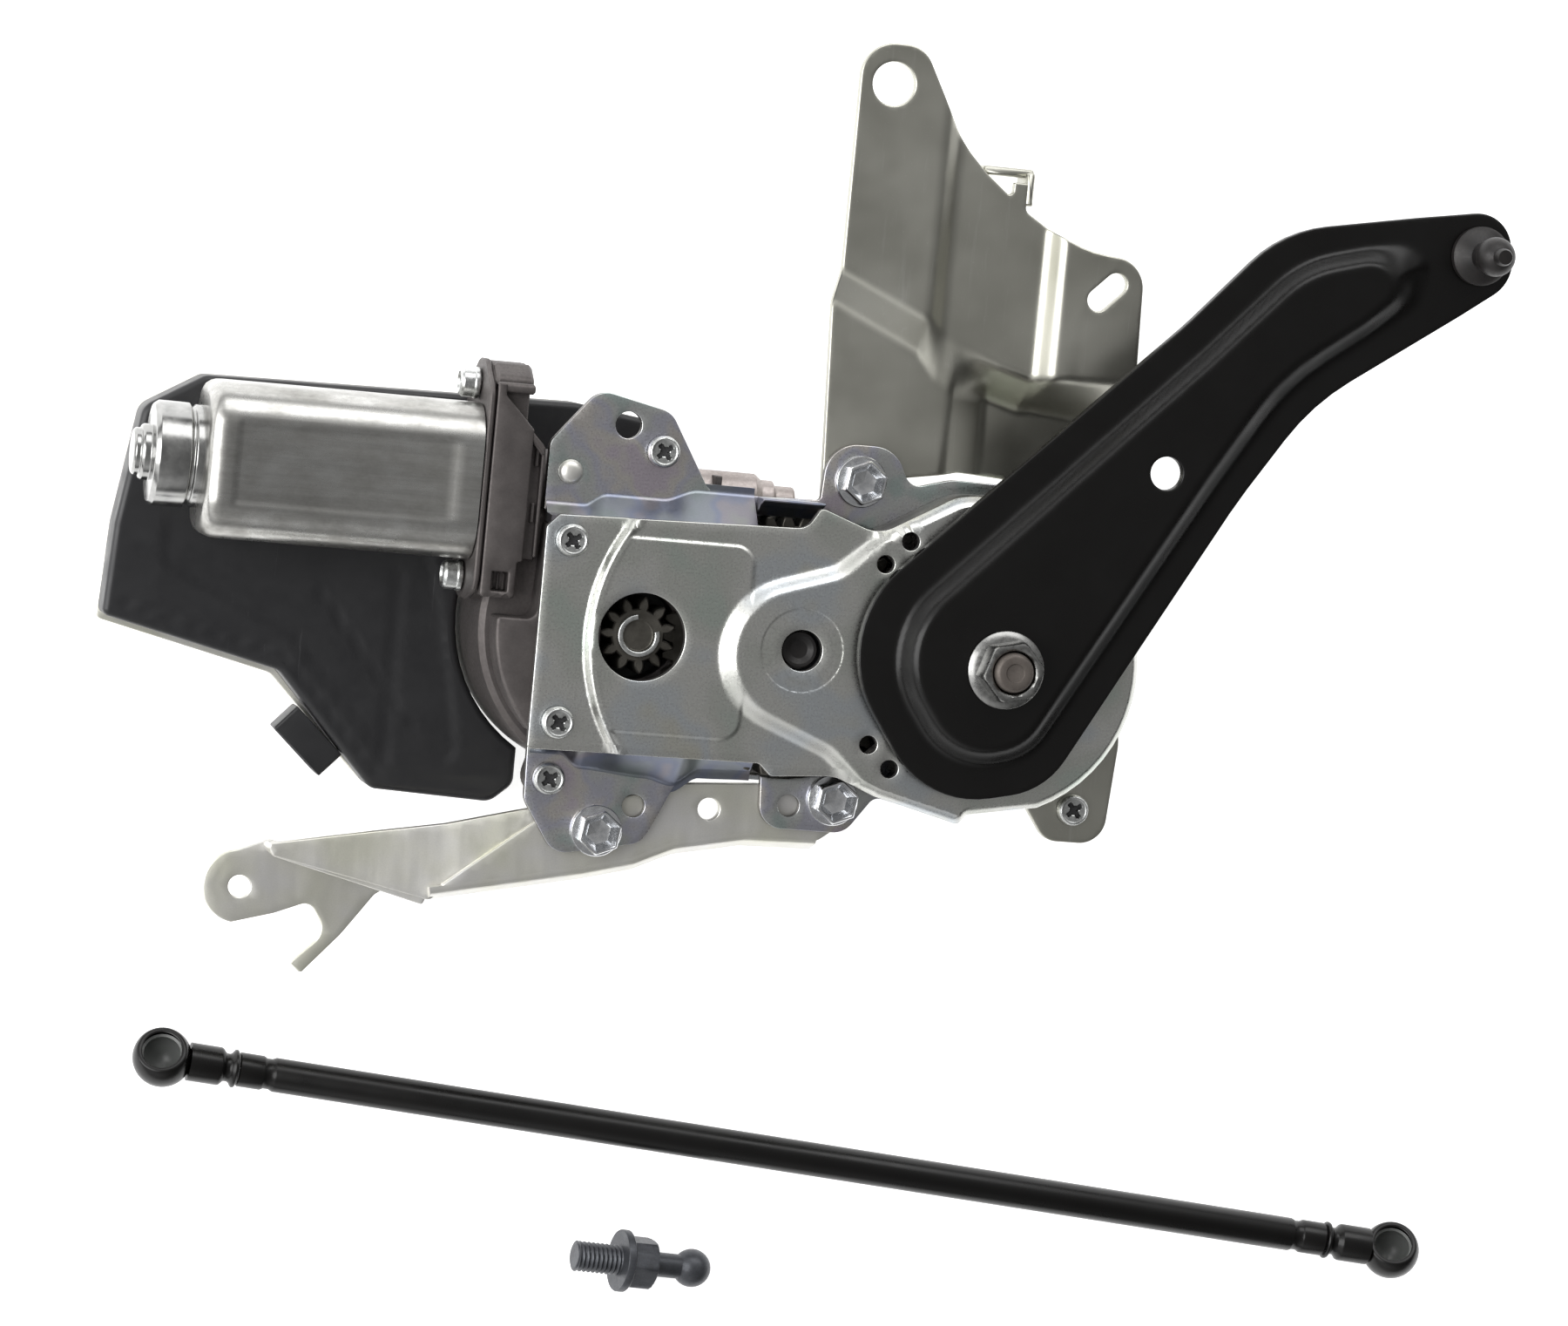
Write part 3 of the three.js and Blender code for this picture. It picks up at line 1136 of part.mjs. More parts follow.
function looseBallStud() {
  const flangeAt = new THREE.Vector3(...STUD.flange, 0);
  const flat = new THREE.Vector3(STUD.towards[0] - flangeAt.x, STUD.towards[1] - flangeAt.y, 0).normalize();
  const tilt = Math.asin((STUD.flangeR - BALL_R) / STUD.reach);
  const along = flat.clone().multiplyScalar(Math.cos(tilt)).setZ(-Math.sin(tilt));
  flangeAt.z = STUD.flangeR * Math.cos(tilt) + 0.15;
  const profile = [[0, -13.4], [3.3, -13.4], [4, -12.6], [4, -1], [STUD.flangeR, -1], [STUD.flangeR, 1],
    [6.2, 1.4], [3.2, 1.6], [3.2, STUD.reach - 3.8], ...ballProfile(BALL_R, STUD.reach, -50, 90, 6)];
  const hex = prismGeometry(hexagon(0, 0, 12, 0), 0.8, 8.2);
  return join(solid(placedAlong(turnedGeometry(profile, 14), flangeAt, along)),
    solid(placedAlong(hex, flangeAt, along)));
}

add("rod_tube", rodTube(), blackCoat);
["left", "right"].forEach((side, i) => {
  add(`rod_socket_${side}`, rodSocket(i), blackCoat);
  add(`socket_liner_${side}`, socketLiner(i), greyPlastic);
});
add("loose_ball_stud", looseBallStud(), darkSteel);

// ---------------------------------------------------------------- origin under the middle of the kit

const box = new THREE.Box3().setFromObject(kit);
const middle = box.getCenter(new THREE.Vector3());
kit.position.set(-middle.x, -middle.y, -box.min.z);

export default kit;
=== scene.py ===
"""Looks for the power liftgate drive unit and its loose rod and ball stud.

The builders work in millimetres, with the output shaft's axis at x = y = 0 and the table at z = 0.
"""
import json
import math

import bpy
import numpy as np
from mathutils import Matrix, Vector
from mathutils.geometry import delaunay_2d_cdt


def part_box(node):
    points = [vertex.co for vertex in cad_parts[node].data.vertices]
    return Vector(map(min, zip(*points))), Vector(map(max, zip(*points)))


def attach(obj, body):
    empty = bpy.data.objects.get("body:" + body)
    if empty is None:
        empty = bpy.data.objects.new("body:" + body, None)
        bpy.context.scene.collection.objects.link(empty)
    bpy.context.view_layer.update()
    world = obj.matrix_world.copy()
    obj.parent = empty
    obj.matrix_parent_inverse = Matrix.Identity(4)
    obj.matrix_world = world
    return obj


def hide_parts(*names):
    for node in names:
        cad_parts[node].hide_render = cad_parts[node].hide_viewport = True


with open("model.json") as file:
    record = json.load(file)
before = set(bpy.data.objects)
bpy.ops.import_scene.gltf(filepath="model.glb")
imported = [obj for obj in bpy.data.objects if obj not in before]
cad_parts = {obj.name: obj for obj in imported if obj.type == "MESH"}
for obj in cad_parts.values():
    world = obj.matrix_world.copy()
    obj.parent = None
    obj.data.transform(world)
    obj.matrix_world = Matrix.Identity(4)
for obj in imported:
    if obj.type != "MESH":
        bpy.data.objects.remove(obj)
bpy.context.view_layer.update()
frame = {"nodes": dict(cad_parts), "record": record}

MM = 0.001
_low, _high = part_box("output_shaft")
ORIGIN = np.array([(_low[0] + _high[0]) / 2, (_low[1] + _high[1]) / 2, 0.0])

PIN = (-50.0, 0.0)
CLUTCH = (-90.5, 0.0)
MOTOR = (34.25, 33.0)  # y and z of the motor's axis
ARM_TIP = (115.0, 114.5)
SHEET = 2.4
EAR_SHEET = 2.3
EAR_TOP = 45.0
BRACKET_TOP = 42.4


# ---------------------------------------------------------------- camera, table and light

def camera():
    lean_x, lean_y, roll = math.radians(13), math.radians(5), math.radians(4.5)
    across = Vector((math.cos(roll), math.sin(roll), 0))
    along = Vector((-math.sin(roll), math.cos(roll), 0))
    back = (Vector((0, 0, 1)) - math.tan(lean_x) * across + math.tan(lean_y) * along).normalized()
    right = (across - across.dot(back) * back).normalized()
    up = back.cross(right)
    target = Vector(ORIGIN) + Vector((-54.37, -3.4, 60)) * MM
    place = Matrix((right, up, back)).transposed().to_4x4()
    place.translation = target + back * 1.4
    data = bpy.data.cameras.new("camera")
    data.lens = 128.8
    data.sensor_width = 36
    data.clip_end = 20
    made = bpy.data.objects.new("camera", data)
    made.matrix_world = place
    bpy.context.collection.objects.link(made)
    bpy.context.scene.camera = made


def area_light(name, at, towards, size, power):
    data = bpy.data.lights.new(name, "AREA")
    data.shape = "RECTANGLE"
    data.size, data.size_y = size
    data.energy = power
    made = bpy.data.objects.new(name, data)
    made.location = at
    made.rotation_euler = (Vector(towards) - Vector(at)).to_track_quat("-Z", "Y").to_euler()
    bpy.context.collection.objects.link(made)


def set_ramp(node, stops):
    """Stops are (position, grey or colour)."""
    elements = node.color_ramp.elements
    while len(elements) < len(stops):
        elements.new(0.5)
    for element, (at, colour) in zip(elements, stops):
        element.position = at
        element.color = (*colour, 1) if isinstance(colour, tuple) else (colour, colour, colour, 1)


def studio():
    """A tent: dark at the horizon, bright above it, grey straight overhead, and dim towards +X and -Y."""
    world = bpy.data.worlds.new("tent")
    bpy.context.scene.world = world
    world.use_nodes = True
    nodes, links = world.node_tree.nodes, world.node_tree.links
    nodes.clear()
    place = nodes.new("ShaderNodeTexCoord")
    split = nodes.new("ShaderNodeSeparateXYZ")
    facing = nodes.new("ShaderNodeVectorMath")
    facing.operation = "DOT_PRODUCT"
    facing.inputs[1].default_value = (-0.9, 0.45, 0)
    ramp = nodes.new("ShaderNodeValToRGB")
    paint = nodes.new("ShaderNodeBackground")
    out = nodes.new("ShaderNodeOutputWorld")
    set_ramp(ramp, [(0.0, 0.3), (0.14, 0.22), (0.26, 1.1), (0.5, 1.15), (0.68, 0.64), (0.88, 0.37),
                    (1.0, 0.29)])
    side = nodes.new("ShaderNodeValToRGB")
    set_ramp(side, [(0.0, 0.05), (0.11, 0.15), (0.28, 0.55), (0.375, 0.82), (0.7, 1.05), (1.0, 1.15)])
    shift = nodes.new("ShaderNodeMapRange")
    shift.inputs["From Min"].default_value = -1
    both = nodes.new("ShaderNodeMix")
    both.data_type = "RGBA"
    both.blend_type = "MULTIPLY"
    both.inputs[0].default_value = 1
    links.new(place.outputs["Generated"], split.inputs[0])
    links.new(split.outputs["Z"], ramp.inputs[0])
    links.new(place.outputs["Generated"], facing.inputs[0])
    links.new(facing.outputs["Value"], shift.inputs["Value"])
    links.new(shift.outputs[0], side.inputs[0])
    links.new(ramp.outputs[0], both.inputs[6])
    links.new(side.outputs[0], both.inputs[7])
    links.new(both.outputs[2], paint.inputs["Color"])
    paint.inputs["Strength"].default_value = 1.0
    links.new(paint.outputs[0], out.inputs[0])
    area_light("tent_left", (-1.1, 0.1, 0.9), (-0.05, 0, 0), (0.9, 1.4), 16)
    area_light("tent_back", (0.2, 1.2, 0.8), (0, 0, 0), (1.4, 0.7), 7)
    bpy.context.scene.view_settings.view_transform = "Standard"


def table():
    mesh = bpy.data.meshes.new("table")
    half = 3.0
    corners = [(-half, -half, 0), (half, -half, 0), (half, half, 0), (-half, half, 0)]
    mesh.from_pydata(corners, [], [(0, 1, 2, 3)])
    made = bpy.data.objects.new("table", mesh)
    made.location.z = -0.0005
    bpy.context.collection.objects.link(made)
    glow = Surface("light_table")
    glow.shader.inputs["Base Color"].default_value = (0.9, 0.9, 0.9, 1)
    glow.shader.inputs["Roughness"].default_value = 0.6
    glow.shader.inputs["Emission Color"].default_value = (1, 1, 1, 1)
    glow.shader.inputs["Emission Strength"].default_value = 0.75
    mesh.materials.append(glow.material)


# ---------------------------------------------------------------- materials

class Surface:
    """A Principled material whose nodes are added by name."""

    def __init__(self, name):
        self.material = bpy.data.materials.new(name)
        self.material.use_nodes = True
        self.tree = self.material.node_tree
        self.tree.nodes.clear()
        self.shader = self.tree.nodes.new("ShaderNodeBsdfPrincipled")
        out = self.tree.nodes.new("ShaderNodeOutputMaterial")
        self.link(self.shader.outputs[0], out.inputs[0])
        self.place = self.tree.nodes.new("ShaderNodeTexCoord").outputs["Object"]

    def link(self, source, target):
        self.tree.links.new(source, target)

    def stretched(self, stretch, turn=0.0):
        node = self.tree.nodes.new("ShaderNodeMapping")
        node.inputs["Scale"].default_value = stretch
        node.inputs["Rotation"].default_value = (0, 0, math.radians(turn))
        self.link(self.place, node.inputs["Vector"])
        return node.outputs[0]

    def noise(self, size_mm, detail=4.0, rough=0.55, stretch=None, turn=0.0):
        node = self.tree.nodes.new("ShaderNodeTexNoise")
        node.inputs["Scale"].default_value = 1 / (size_mm * MM)
        node.inputs["Detail"].default_value = detail
        node.inputs["Roughness"].default_value = rough
        self.link(self.stretched(stretch, turn) if stretch else self.place, node.inputs["Vector"])
        return node.outputs[0]

    def cells(self, size_mm):
        node = self.tree.nodes.new("ShaderNodeTexVoronoi")
        node.inputs["Scale"].default_value = 1 / (size_mm * MM)
        self.link(self.place, node.inputs["Vector"])
        return node.outputs["Distance"]

    def ramp(self, fac, stops, smooth=False):
        node = self.tree.nodes.new("ShaderNodeValToRGB")
        set_ramp(node, stops)
        if smooth:
            node.color_ramp.interpolation = "EASE"
        self.link(fac, node.inputs[0])
        return node.outputs[0]

    def blend(self, mode, fac, a, b):
        node = self.tree.nodes.new("ShaderNodeMix")
        node.data_type = "RGBA"
        node.blend_type = mode
        for socket, value in ((node.inputs[0], fac), (node.inputs[6], a), (node.inputs[7], b)):
            if isinstance(value, (int, float)):
                socket.default_value = value
            elif isinstance(value, tuple):
                socket.default_value = (*value, 1)
            else:
                self.link(value, socket)
        return node.outputs[2]

    def colour(self, source):
        self.link(source, self.shader.inputs["Base Color"])

    def roughness(self, source):
        self.link(source, self.shader.inputs["Roughness"])

    def bump(self, *layers):
        """Each layer is (height, strength, depth in millimetres)."""
        last = None
        for height, strength, depth in layers:
            node = self.tree.nodes.new("ShaderNodeBump")
            node.inputs["Strength"].default_value = strength
            node.inputs["Distance"].default_value = depth * MM
            self.link(height, node.inputs["Height"])
            if last:
                self.link(last, node.inputs["Normal"])
            last = node.outputs[0]
        self.link(last, self.shader.inputs["Normal"])

    def set(self, **values):
        for name, value in values.items():
            self.shader.inputs[name.replace("_", " ")].default_value = value
        return self


def iridescent(name, tones, gloss, wander=26.0):
    """Zinc plate under a thin passivation film whose colour drifts across the part."""
    s = Surface(name).set(Metallic=1.0)
    drift = s.noise(wander, 2.0, 0.5)
    fine = s.noise(0.5, 1.5, 0.5)
    streaks = s.noise(1.2, 4.0, 0.6, (1, 0.1, 1), 8)
    tint = s.ramp(drift, [(0.32 + 0.09 * i, tone) for i, tone in enumerate(tones)], True)
    grain = s.ramp(fine, [(0.3, 0.94), (0.7, 1.0)])
    veil = s.ramp(streaks, [(0.3, 0.975), (0.7, 1.0)])
    s.colour(s.blend("MULTIPLY", 1.0, s.blend("MULTIPLY", 1.0, tint, grain), veil))
    s.roughness(s.ramp(fine, [(0.3, gloss - 0.04), (0.7, gloss + 0.05)]))
    s.bump((fine, 0.06, 0.012), (s.noise(9.0, 1.0, 0.5), 0.2, 0.04))
    return s.material


def galvanised():
    s = Surface("galvanised").set(Metallic=1.0)
    clouds = s.noise(30.0, 3.0, 0.5)
    specks = s.ramp(s.noise(0.55, 4.0, 0.7), [(0.62, 0.0), (0.74, 1.0)])
    lines = s.ramp(s.noise(2.2, 6.0, 0.75, (1, 0.05, 1), 4), [(0.58, 0.0), (0.75, 1.0)])
    tone = s.ramp(clouds, [(0.3, (0.43, 0.425, 0.37)), (0.5, (0.48, 0.475, 0.42)),
                           (0.7, (0.54, 0.535, 0.48))])
    tone = s.blend("MIX", s.blend("MULTIPLY", 1.0, specks, (0.3, 0.3, 0.3)), tone, (0.82, 0.82, 0.78))
    s.colour(s.blend("MIX", s.blend("MULTIPLY", 1.0, lines, (0.22, 0.22, 0.22)), tone, (0.86, 0.86, 0.84)))
    s.roughness(s.ramp(clouds, [(0.3, 0.3), (0.7, 0.42)]))
    s.bump((s.noise(0.5, 3.0, 0.6), 0.14, 0.02), (s.noise(12.0, 1.0, 0.5), 0.2, 0.06))
    return s.material


def pale_zinc():
    s = Surface("pale_zinc").set(Metallic=0.8)
    clouds = s.noise(22.0, 3.0, 0.55)
    tone = s.ramp(clouds, [(0.35, (0.70, 0.695, 0.6)), (0.5, (0.73, 0.72, 0.66)), (0.65, (0.75, 0.74, 0.72))])
    s.colour(s.blend("MULTIPLY", 1.0, tone, s.ramp(s.noise(0.4, 3.0, 0.6), [(0.3, 0.93), (0.7, 1.0)])))
    s.roughness(s.ramp(s.noise(5.0, 4.0, 0.6, (1, 0.2, 1), -14), [(0.3, 0.3), (0.7, 0.42)]))
    s.bump((s.noise(0.4, 3.0, 0.6), 0.12, 0.02))
    return s.material


def bright_steel():
    s = Surface("bright_steel").set(Metallic=1.0)
    wear = s.noise(1.6, 4.0, 0.6)
    s.colour(s.ramp(wear, [(0.3, (0.66, 0.67, 0.69)), (0.7, (0.82, 0.83, 0.84))]))
    s.roughness(s.ramp(wear, [(0.3, 0.12), (0.7, 0.24)]))
    s.bump((s.noise(0.3, 2.0, 0.5), 0.1, 0.015))
    return s.material


def polished_steel():
    s = Surface("polished_steel").set(Metallic=1.0)
    wear = s.noise(3.0, 4.0, 0.6)
    s.colour(s.ramp(wear, [(0.3, (0.30, 0.30, 0.295)), (0.7, (0.44, 0.44, 0.43))]))
    s.roughness(s.ramp(wear, [(0.3, 0.16), (0.7, 0.24)]))
    s.bump((s.noise(0.6, 2.0, 0.5), 0.08, 0.015))
    return s.material


def dull_zinc():
    s = Surface("dull_zinc").set(Metallic=1.0)
    wear = s.noise(1.2, 4.0, 0.6)
    s.colour(s.ramp(wear, [(0.3, (0.22, 0.22, 0.215)), (0.7, (0.34, 0.34, 0.33))]))
    s.roughness(s.ramp(wear, [(0.3, 0.24), (0.7, 0.34)]))
    s.bump((s.noise(0.6, 2.0, 0.5), 0.06, 0.01))
    return s.material


def fastener_zinc():
    """Zinc plate on screws and nuts: duller than bright steel, with a faint grey film."""
    s = Surface("fastener_zinc").set(Metallic=1.0)
    wear = s.noise(1.2, 4.0, 0.6)
    s.colour(s.ramp(wear, [(0.3, (0.50, 0.51, 0.50)), (0.7, (0.66, 0.67, 0.66))]))
    s.roughness(s.ramp(wear, [(0.3, 0.24), (0.7, 0.34)]))
    s.bump((s.noise(0.3, 2.0, 0.5), 0.1, 0.015))
    return s.material


def drawn_steel():
    """The motor's can: stained, with long draw marks."""
    s = Surface("drawn_steel").set(Metallic=1.0)
    stains = s.noise(10.0, 6.0, 0.72, (0.7, 1, 1))
    marks = s.noise(2.0, 5.0, 0.75, (0.05, 1, 1))
    pits = s.ramp(s.cells(1.4), [(0.06, 0.5), (0.12, 1.0)])
    tone = s.ramp(stains, [(0.32, (0.33, 0.325, 0.305)), (0.5, (0.47, 0.465, 0.445)),
                           (0.68, (0.62, 0.62, 0.60))])
    tone = s.blend("MULTIPLY", 1.0, tone, s.ramp(marks, [(0.35, 0.82), (0.65, 1.0)]))
    s.colour(s.blend("MULTIPLY", 0.35, tone, pits))
    s.roughness(s.ramp(stains, [(0.3, 0.36), (0.7, 0.22)]))
    s.bump((marks, 0.25, 0.02), (s.noise(0.5, 3.0, 0.6), 0.12, 0.02))
    return s.material


def cast_metal(name, dark, light, metallic=0.75, gloss=0.5):
    s = Surface(name).set(Metallic=metallic)
    grain = s.noise(0.7, 4.0, 0.65)
    clouds = s.noise(8.0, 4.0, 0.6)
    s.colour(s.blend("MULTIPLY", 1.0, s.ramp(clouds, [(0.3, dark), (0.7, light)]),
                     s.ramp(grain, [(0.3, 0.8), (0.7, 1.0)])))
    s.roughness(s.ramp(grain, [(0.3, gloss + 0.08), (0.7, gloss - 0.05)]))
    s.bump((grain, 0.35, 0.04), (clouds, 0.2, 0.08))
    return s.material


def black_coat():
    """Semi-gloss black paint with a trace of orange peel and dust."""
    s = Surface("black_coat").set(Metallic=0.0, Specular_IOR_Level=0.32)
    dust = s.ramp(s.noise(0.35, 5.0, 0.8), [(0.66, 0.0), (0.8, 1.0)])
    faint = s.blend("MULTIPLY", 1.0, dust, (0.2, 0.2, 0.2))
    s.colour(s.blend("MIX", faint, (0.0035, 0.0032, 0.003), (0.05, 0.048, 0.045)))
    s.roughness(s.ramp(s.noise(14.0, 3.0, 0.6), [(0.3, 0.24), (0.7, 0.34)]))
    s.bump((s.noise(1.6, 2.0, 0.5), 0.12, 0.03))
    return s.material


def plastic(name, colour, lift, gloss=0.42):
    """Moulded plastic with a fine spark texture and handling scratches."""
    s = Surface(name).set(Metallic=0.0)
    scratches = s.ramp(s.noise(1.6, 6.0, 0.8, (1, 0.03, 1), 33), [(0.64, 0.0), (0.72, 1.0)])
    s.colour(s.blend("MIX", s.blend("MULTIPLY", 1.0, scratches, (0.3, 0.3, 0.3)), colour, lift))
    s.roughness(s.ramp(s.noise(6.0, 4.0, 0.6), [(0.3, gloss - 0.06), (0.7, gloss + 0.08)]))
    s.bump((s.noise(0.3, 3.0, 0.6), 0.2, 0.02))
    return s.material


def make_materials():
    grey_tones = [(0.55, 0.60, 0.55), (0.60, 0.61, 0.57), (0.66, 0.66, 0.63), (0.61, 0.64, 0.66),
                  (0.64, 0.63, 0.56)]
    ear_tones = [(0.48, 0.55, 0.53), (0.58, 0.59, 0.58), (0.55, 0.55, 0.62), (0.64, 0.61, 0.58),
                 (0.60, 0.54, 0.60)]
    # Darker copies of the zinc tones, for the gear case's sloping walls and window slab: painted shade on the same
    # plated sheet as the ears.
    wall_tones_painted_shade = [(0.24, 0.27, 0.28), (0.26, 0.28, 0.31), (0.23, 0.25, 0.32), (0.29, 0.28, 0.31),
                  (0.30, 0.31, 0.30)]
    made = {
        "zinc_plated_sheet": iridescent("zinc_plated_sheet", grey_tones, 0.3),
        "zinc_plated_ears": iridescent("zinc_plated_ears", ear_tones, 0.3, 15.0),
        "zinc_walls_painted_shade": iridescent("zinc_walls_painted_shade", wall_tones_painted_shade, 0.34, 15.0),
        "galvanised_sheet": galvanised(),
        "pale_zinc": pale_zinc(),
        "bright_steel": bright_steel(),
        "fastener_zinc": fastener_zinc(),
        "dull_zinc": dull_zinc(),
        "casting": cast_metal("casting", (0.095, 0.085, 0.083), (0.135, 0.122, 0.118)),
        "machined_casting": cast_metal("machined_casting", (0.30, 0.265, 0.25), (0.42, 0.375, 0.36), 0.85, 0.4),
        "drawn_steel": drawn_steel(),
        "polished_steel": polished_steel(),
        "sintered_steel": cast_metal("sintered_steel", (0.07, 0.065, 0.055), (0.17, 0.16, 0.14), 0.8, 0.4),
        "dark_steel": cast_metal("dark_steel", (0.05, 0.053, 0.06), (0.09, 0.094, 0.105), 0.6, 0.4),
        "cut_steel": cast_metal("cut_steel", (0.15, 0.145, 0.14), (0.28, 0.27, 0.26), 0.9, 0.45),
        "blackened_steel": cast_metal("blackened_steel", (0.010, 0.009, 0.009), (0.024, 0.021, 0.020), 0.3, 0.42),
        "shaft_end": cast_metal("shaft_end", (0.10, 0.085, 0.075), (0.16, 0.14, 0.125), 0.5, 0.5),
        "bronze": cast_metal("bronze", (0.42, 0.27, 0.12), (0.6, 0.42, 0.2), 1.0, 0.4),
        "copper_winding": cast_metal("copper_winding", (0.45, 0.16, 0.06), (0.7, 0.3, 0.14), 1.0, 0.35),
        "black_coat": black_coat(),
        "magnet": cast_metal("magnet", (0.02, 0.02, 0.022), (0.05, 0.05, 0.052), 0.2, 0.6),
        "black_plastic": plastic("black_plastic", (0.013, 0.013, 0.0145), (0.12, 0.12, 0.125)),
        "grey_plastic": plastic("grey_plastic", (0.12, 0.125, 0.12), (0.3, 0.3, 0.3), 0.35),
        "board": plastic("board", (0.02, 0.08, 0.035), (0.3, 0.35, 0.3), 0.4),
    }
    slots = {part["node"]: part["material_slot"] for part in frame["record"]["subparts"]}
    for node, thing in frame["nodes"].items():
        thing.data.materials.clear()
        thing.data.materials.append(made[slots[node]])
    return made


# ---------------------------------------------------------------- outlines

def rounded(corners, step_deg=7.0):
    """Corners (x, y, radius) as a closed outline with an arc at each, as large as its edges have room for."""
    at = np.array([c[:2] for c in corners], float)
    to_next = np.roll(at, -1, 0) - at
    lengths = np.linalg.norm(to_next, axis=1)
    to_next /= lengths[:, None]
    to_last = -np.roll(to_next, 1, 0)
    half = np.arccos(np.clip((to_next * to_last).sum(1), -1, 1)) / 2
    wanted = np.array([c[2] for c in corners]) / np.tan(half)
    share = np.minimum(1, lengths / (wanted + np.roll(wanted, -1) + 1e-9))
    tangent = wanted * np.minimum(share, np.roll(share, 1))
    outline = []
    for i, corner in enumerate(at):
        first = corner + to_last[i] * tangent[i]
        last = corner + to_next[i] * tangent[i]
        inwards = to_last[i] + to_next[i]
        if np.linalg.norm(inwards) < 1e-6:
            outline.append(corner)
            continue
        inwards /= np.linalg.norm(inwards)
        centre = corner + inwards * tangent[i] / math.cos(half[i])
        a, b = first - centre, last - centre
        turn = math.atan2(a[0] * b[1] - a[1] * b[0], a @ b)
        steps = max(1, math.ceil(abs(math.degrees(turn)) / step_deg))
        for k in range(steps + 1):
            c, s = math.cos(turn * k / steps), math.sin(turn * k / steps)
            point = centre + (c * a[0] - s * a[1], s * a[0] + c * a[1])
            if not outline or np.linalg.norm(point - outline[-1]) > 1e-3:
                outline.append(point)
    if np.linalg.norm(outline[0] - outline[-1]) < 1e-3:
        outline.pop()
    return np.array(outline)


def arc_corners(x, y, radius, from_deg, to_deg, count):
    """Corners of the polygon round an arc, so that rounded() gives the arc itself."""
    step = math.radians(to_deg - from_deg) / count
    reach = radius / math.cos(step / 2)

    def at(r, angle, corner):
        return (x + r * math.cos(angle), y + r * math.sin(angle), corner)

    first = math.radians(from_deg)
    middle = [at(reach, first + step * (i + 0.5), radius) for i in range(count)]
    return [at(radius, first, 0), *middle, at(radius, math.radians(to_deg), 0)]


def circle(x, y, radius, sides=48):
    angle = np.arange(sides) * 2 * math.pi / sides
    return np.column_stack((x + radius * np.cos(angle), y + radius * np.sin(angle)))


def hexagon(x, y, across_flats, turn_deg=0.0):
    return circle(0, 0, across_flats / math.sqrt(3), 6) @ rotation(-turn_deg) + (x, y)


def rotation(degrees):
    c, s = math.cos(math.radians(degrees)), math.sin(math.radians(degrees))
    return np.array([[c, -s], [s, c]])


def densified(ring, pitch):
    """The ring with points added so that no edge is longer than the pitch."""
    out = []
    for a, b in zip(ring, np.roll(ring, -1, 0)):
        steps = max(1, math.ceil(np.linalg.norm(b - a) / pitch))
        out.extend(a + (b - a) * k / steps for k in range(steps))
    return np.array(out)


def edge_distance(points, ring):
    """Distance from each point to the closed ring."""
    best = np.full(len(points), np.inf)
    for a, b in zip(ring, np.roll(ring, -1, 0)):
        edge = b - a
        t = np.clip(((points - a) @ edge) / max(edge @ edge, 1e-12), 0, 1)
        gap = points - a - t[:, None] * edge
        np.minimum(best, np.einsum("ij,ij->i", gap, gap), out=best)
    return np.sqrt(best)


def inside(points, ring):
    hit = np.zeros(len(points), bool)
    for (x1, y1), (x2, y2) in zip(ring, np.roll(ring, -1, 0)):
        if y1 == y2:
            continue
        crosses = (y1 > points[:, 1]) != (y2 > points[:, 1])
        hit ^= crosses & (points[:, 0] < (x2 - x1) * (points[:, 1] - y1) / (y2 - y1) + x1)
    return hit


def signed(points, ring):
    """Distance to the ring, positive inside it."""
    return np.where(inside(points, ring), 1, -1) * edge_distance(points, ring)


def smooth(t):
    t = np.clip(t, 0, 1)
    return t * t * (3 - 2 * t)


def between(points, foot, top):
    """0 outside the foot outline, 1 inside the top outline, and a smooth rise from one to the other."""
    up = np.maximum(signed(points, foot), 0)
    left = np.maximum(-signed(points, top), 0)
    return smooth(up / (up + left + 1e-9))


def moved_in(ring, distance):
    """The ring's points moved to its left; for an anticlockwise ring, inwards."""
    before = ring - np.roll(ring, 1, 0)
    after = np.roll(ring, -1, 0) - ring
    before /= np.linalg.norm(before, axis=1)[:, None]
    after /= np.linalg.norm(after, axis=1)[:, None]
    normal = np.column_stack((-before[:, 1] - after[:, 1], before[:, 0] + after[:, 0]))
    scale = 1 + (before * after).sum(1)
    return ring + normal * (distance / np.maximum(scale, 0.35))[:, None]


# ---------------------------------------------------------------- meshes

def piece(name, shells, material, body, nodes=(), sharp=38.0, cut=None):
    """One object from (vertices in millimetres, faces) shells, riding on a body in place of CAD nodes.

    The upright faces of a sheet are its cut edges, and may have a material of their own.
    """
    vertices, faces = [], []
    for shell_vertices, shell_faces in shells:
        base = len(vertices)
        vertices.extend(np.asarray(shell_vertices, float).tolist())
        faces.extend([tuple(int(i) + base for i in face) for face in shell_faces])
    mesh = bpy.data.meshes.new(name)
    mesh.from_pydata((np.array(vertices) * MM + ORIGIN).tolist(), [], faces)
    mesh.validate()
    mesh.polygons.foreach_set("use_smooth", [True] * len(mesh.polygons))
    mesh.set_sharp_from_angle(angle=math.radians(sharp))
    mesh.materials.append(material)
    if cut:
        mesh.materials.append(cut)
        mesh.polygons.foreach_set("material_index", [int(abs(face.normal.z) < 0.3) for face in mesh.polygons])
    made = bpy.data.objects.new(name, mesh)
    bpy.context.collection.objects.link(made)
    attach(made, body)
    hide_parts(*nodes)
    return made


EDGE_ROWS = (0.05, 0.15, 0.4)


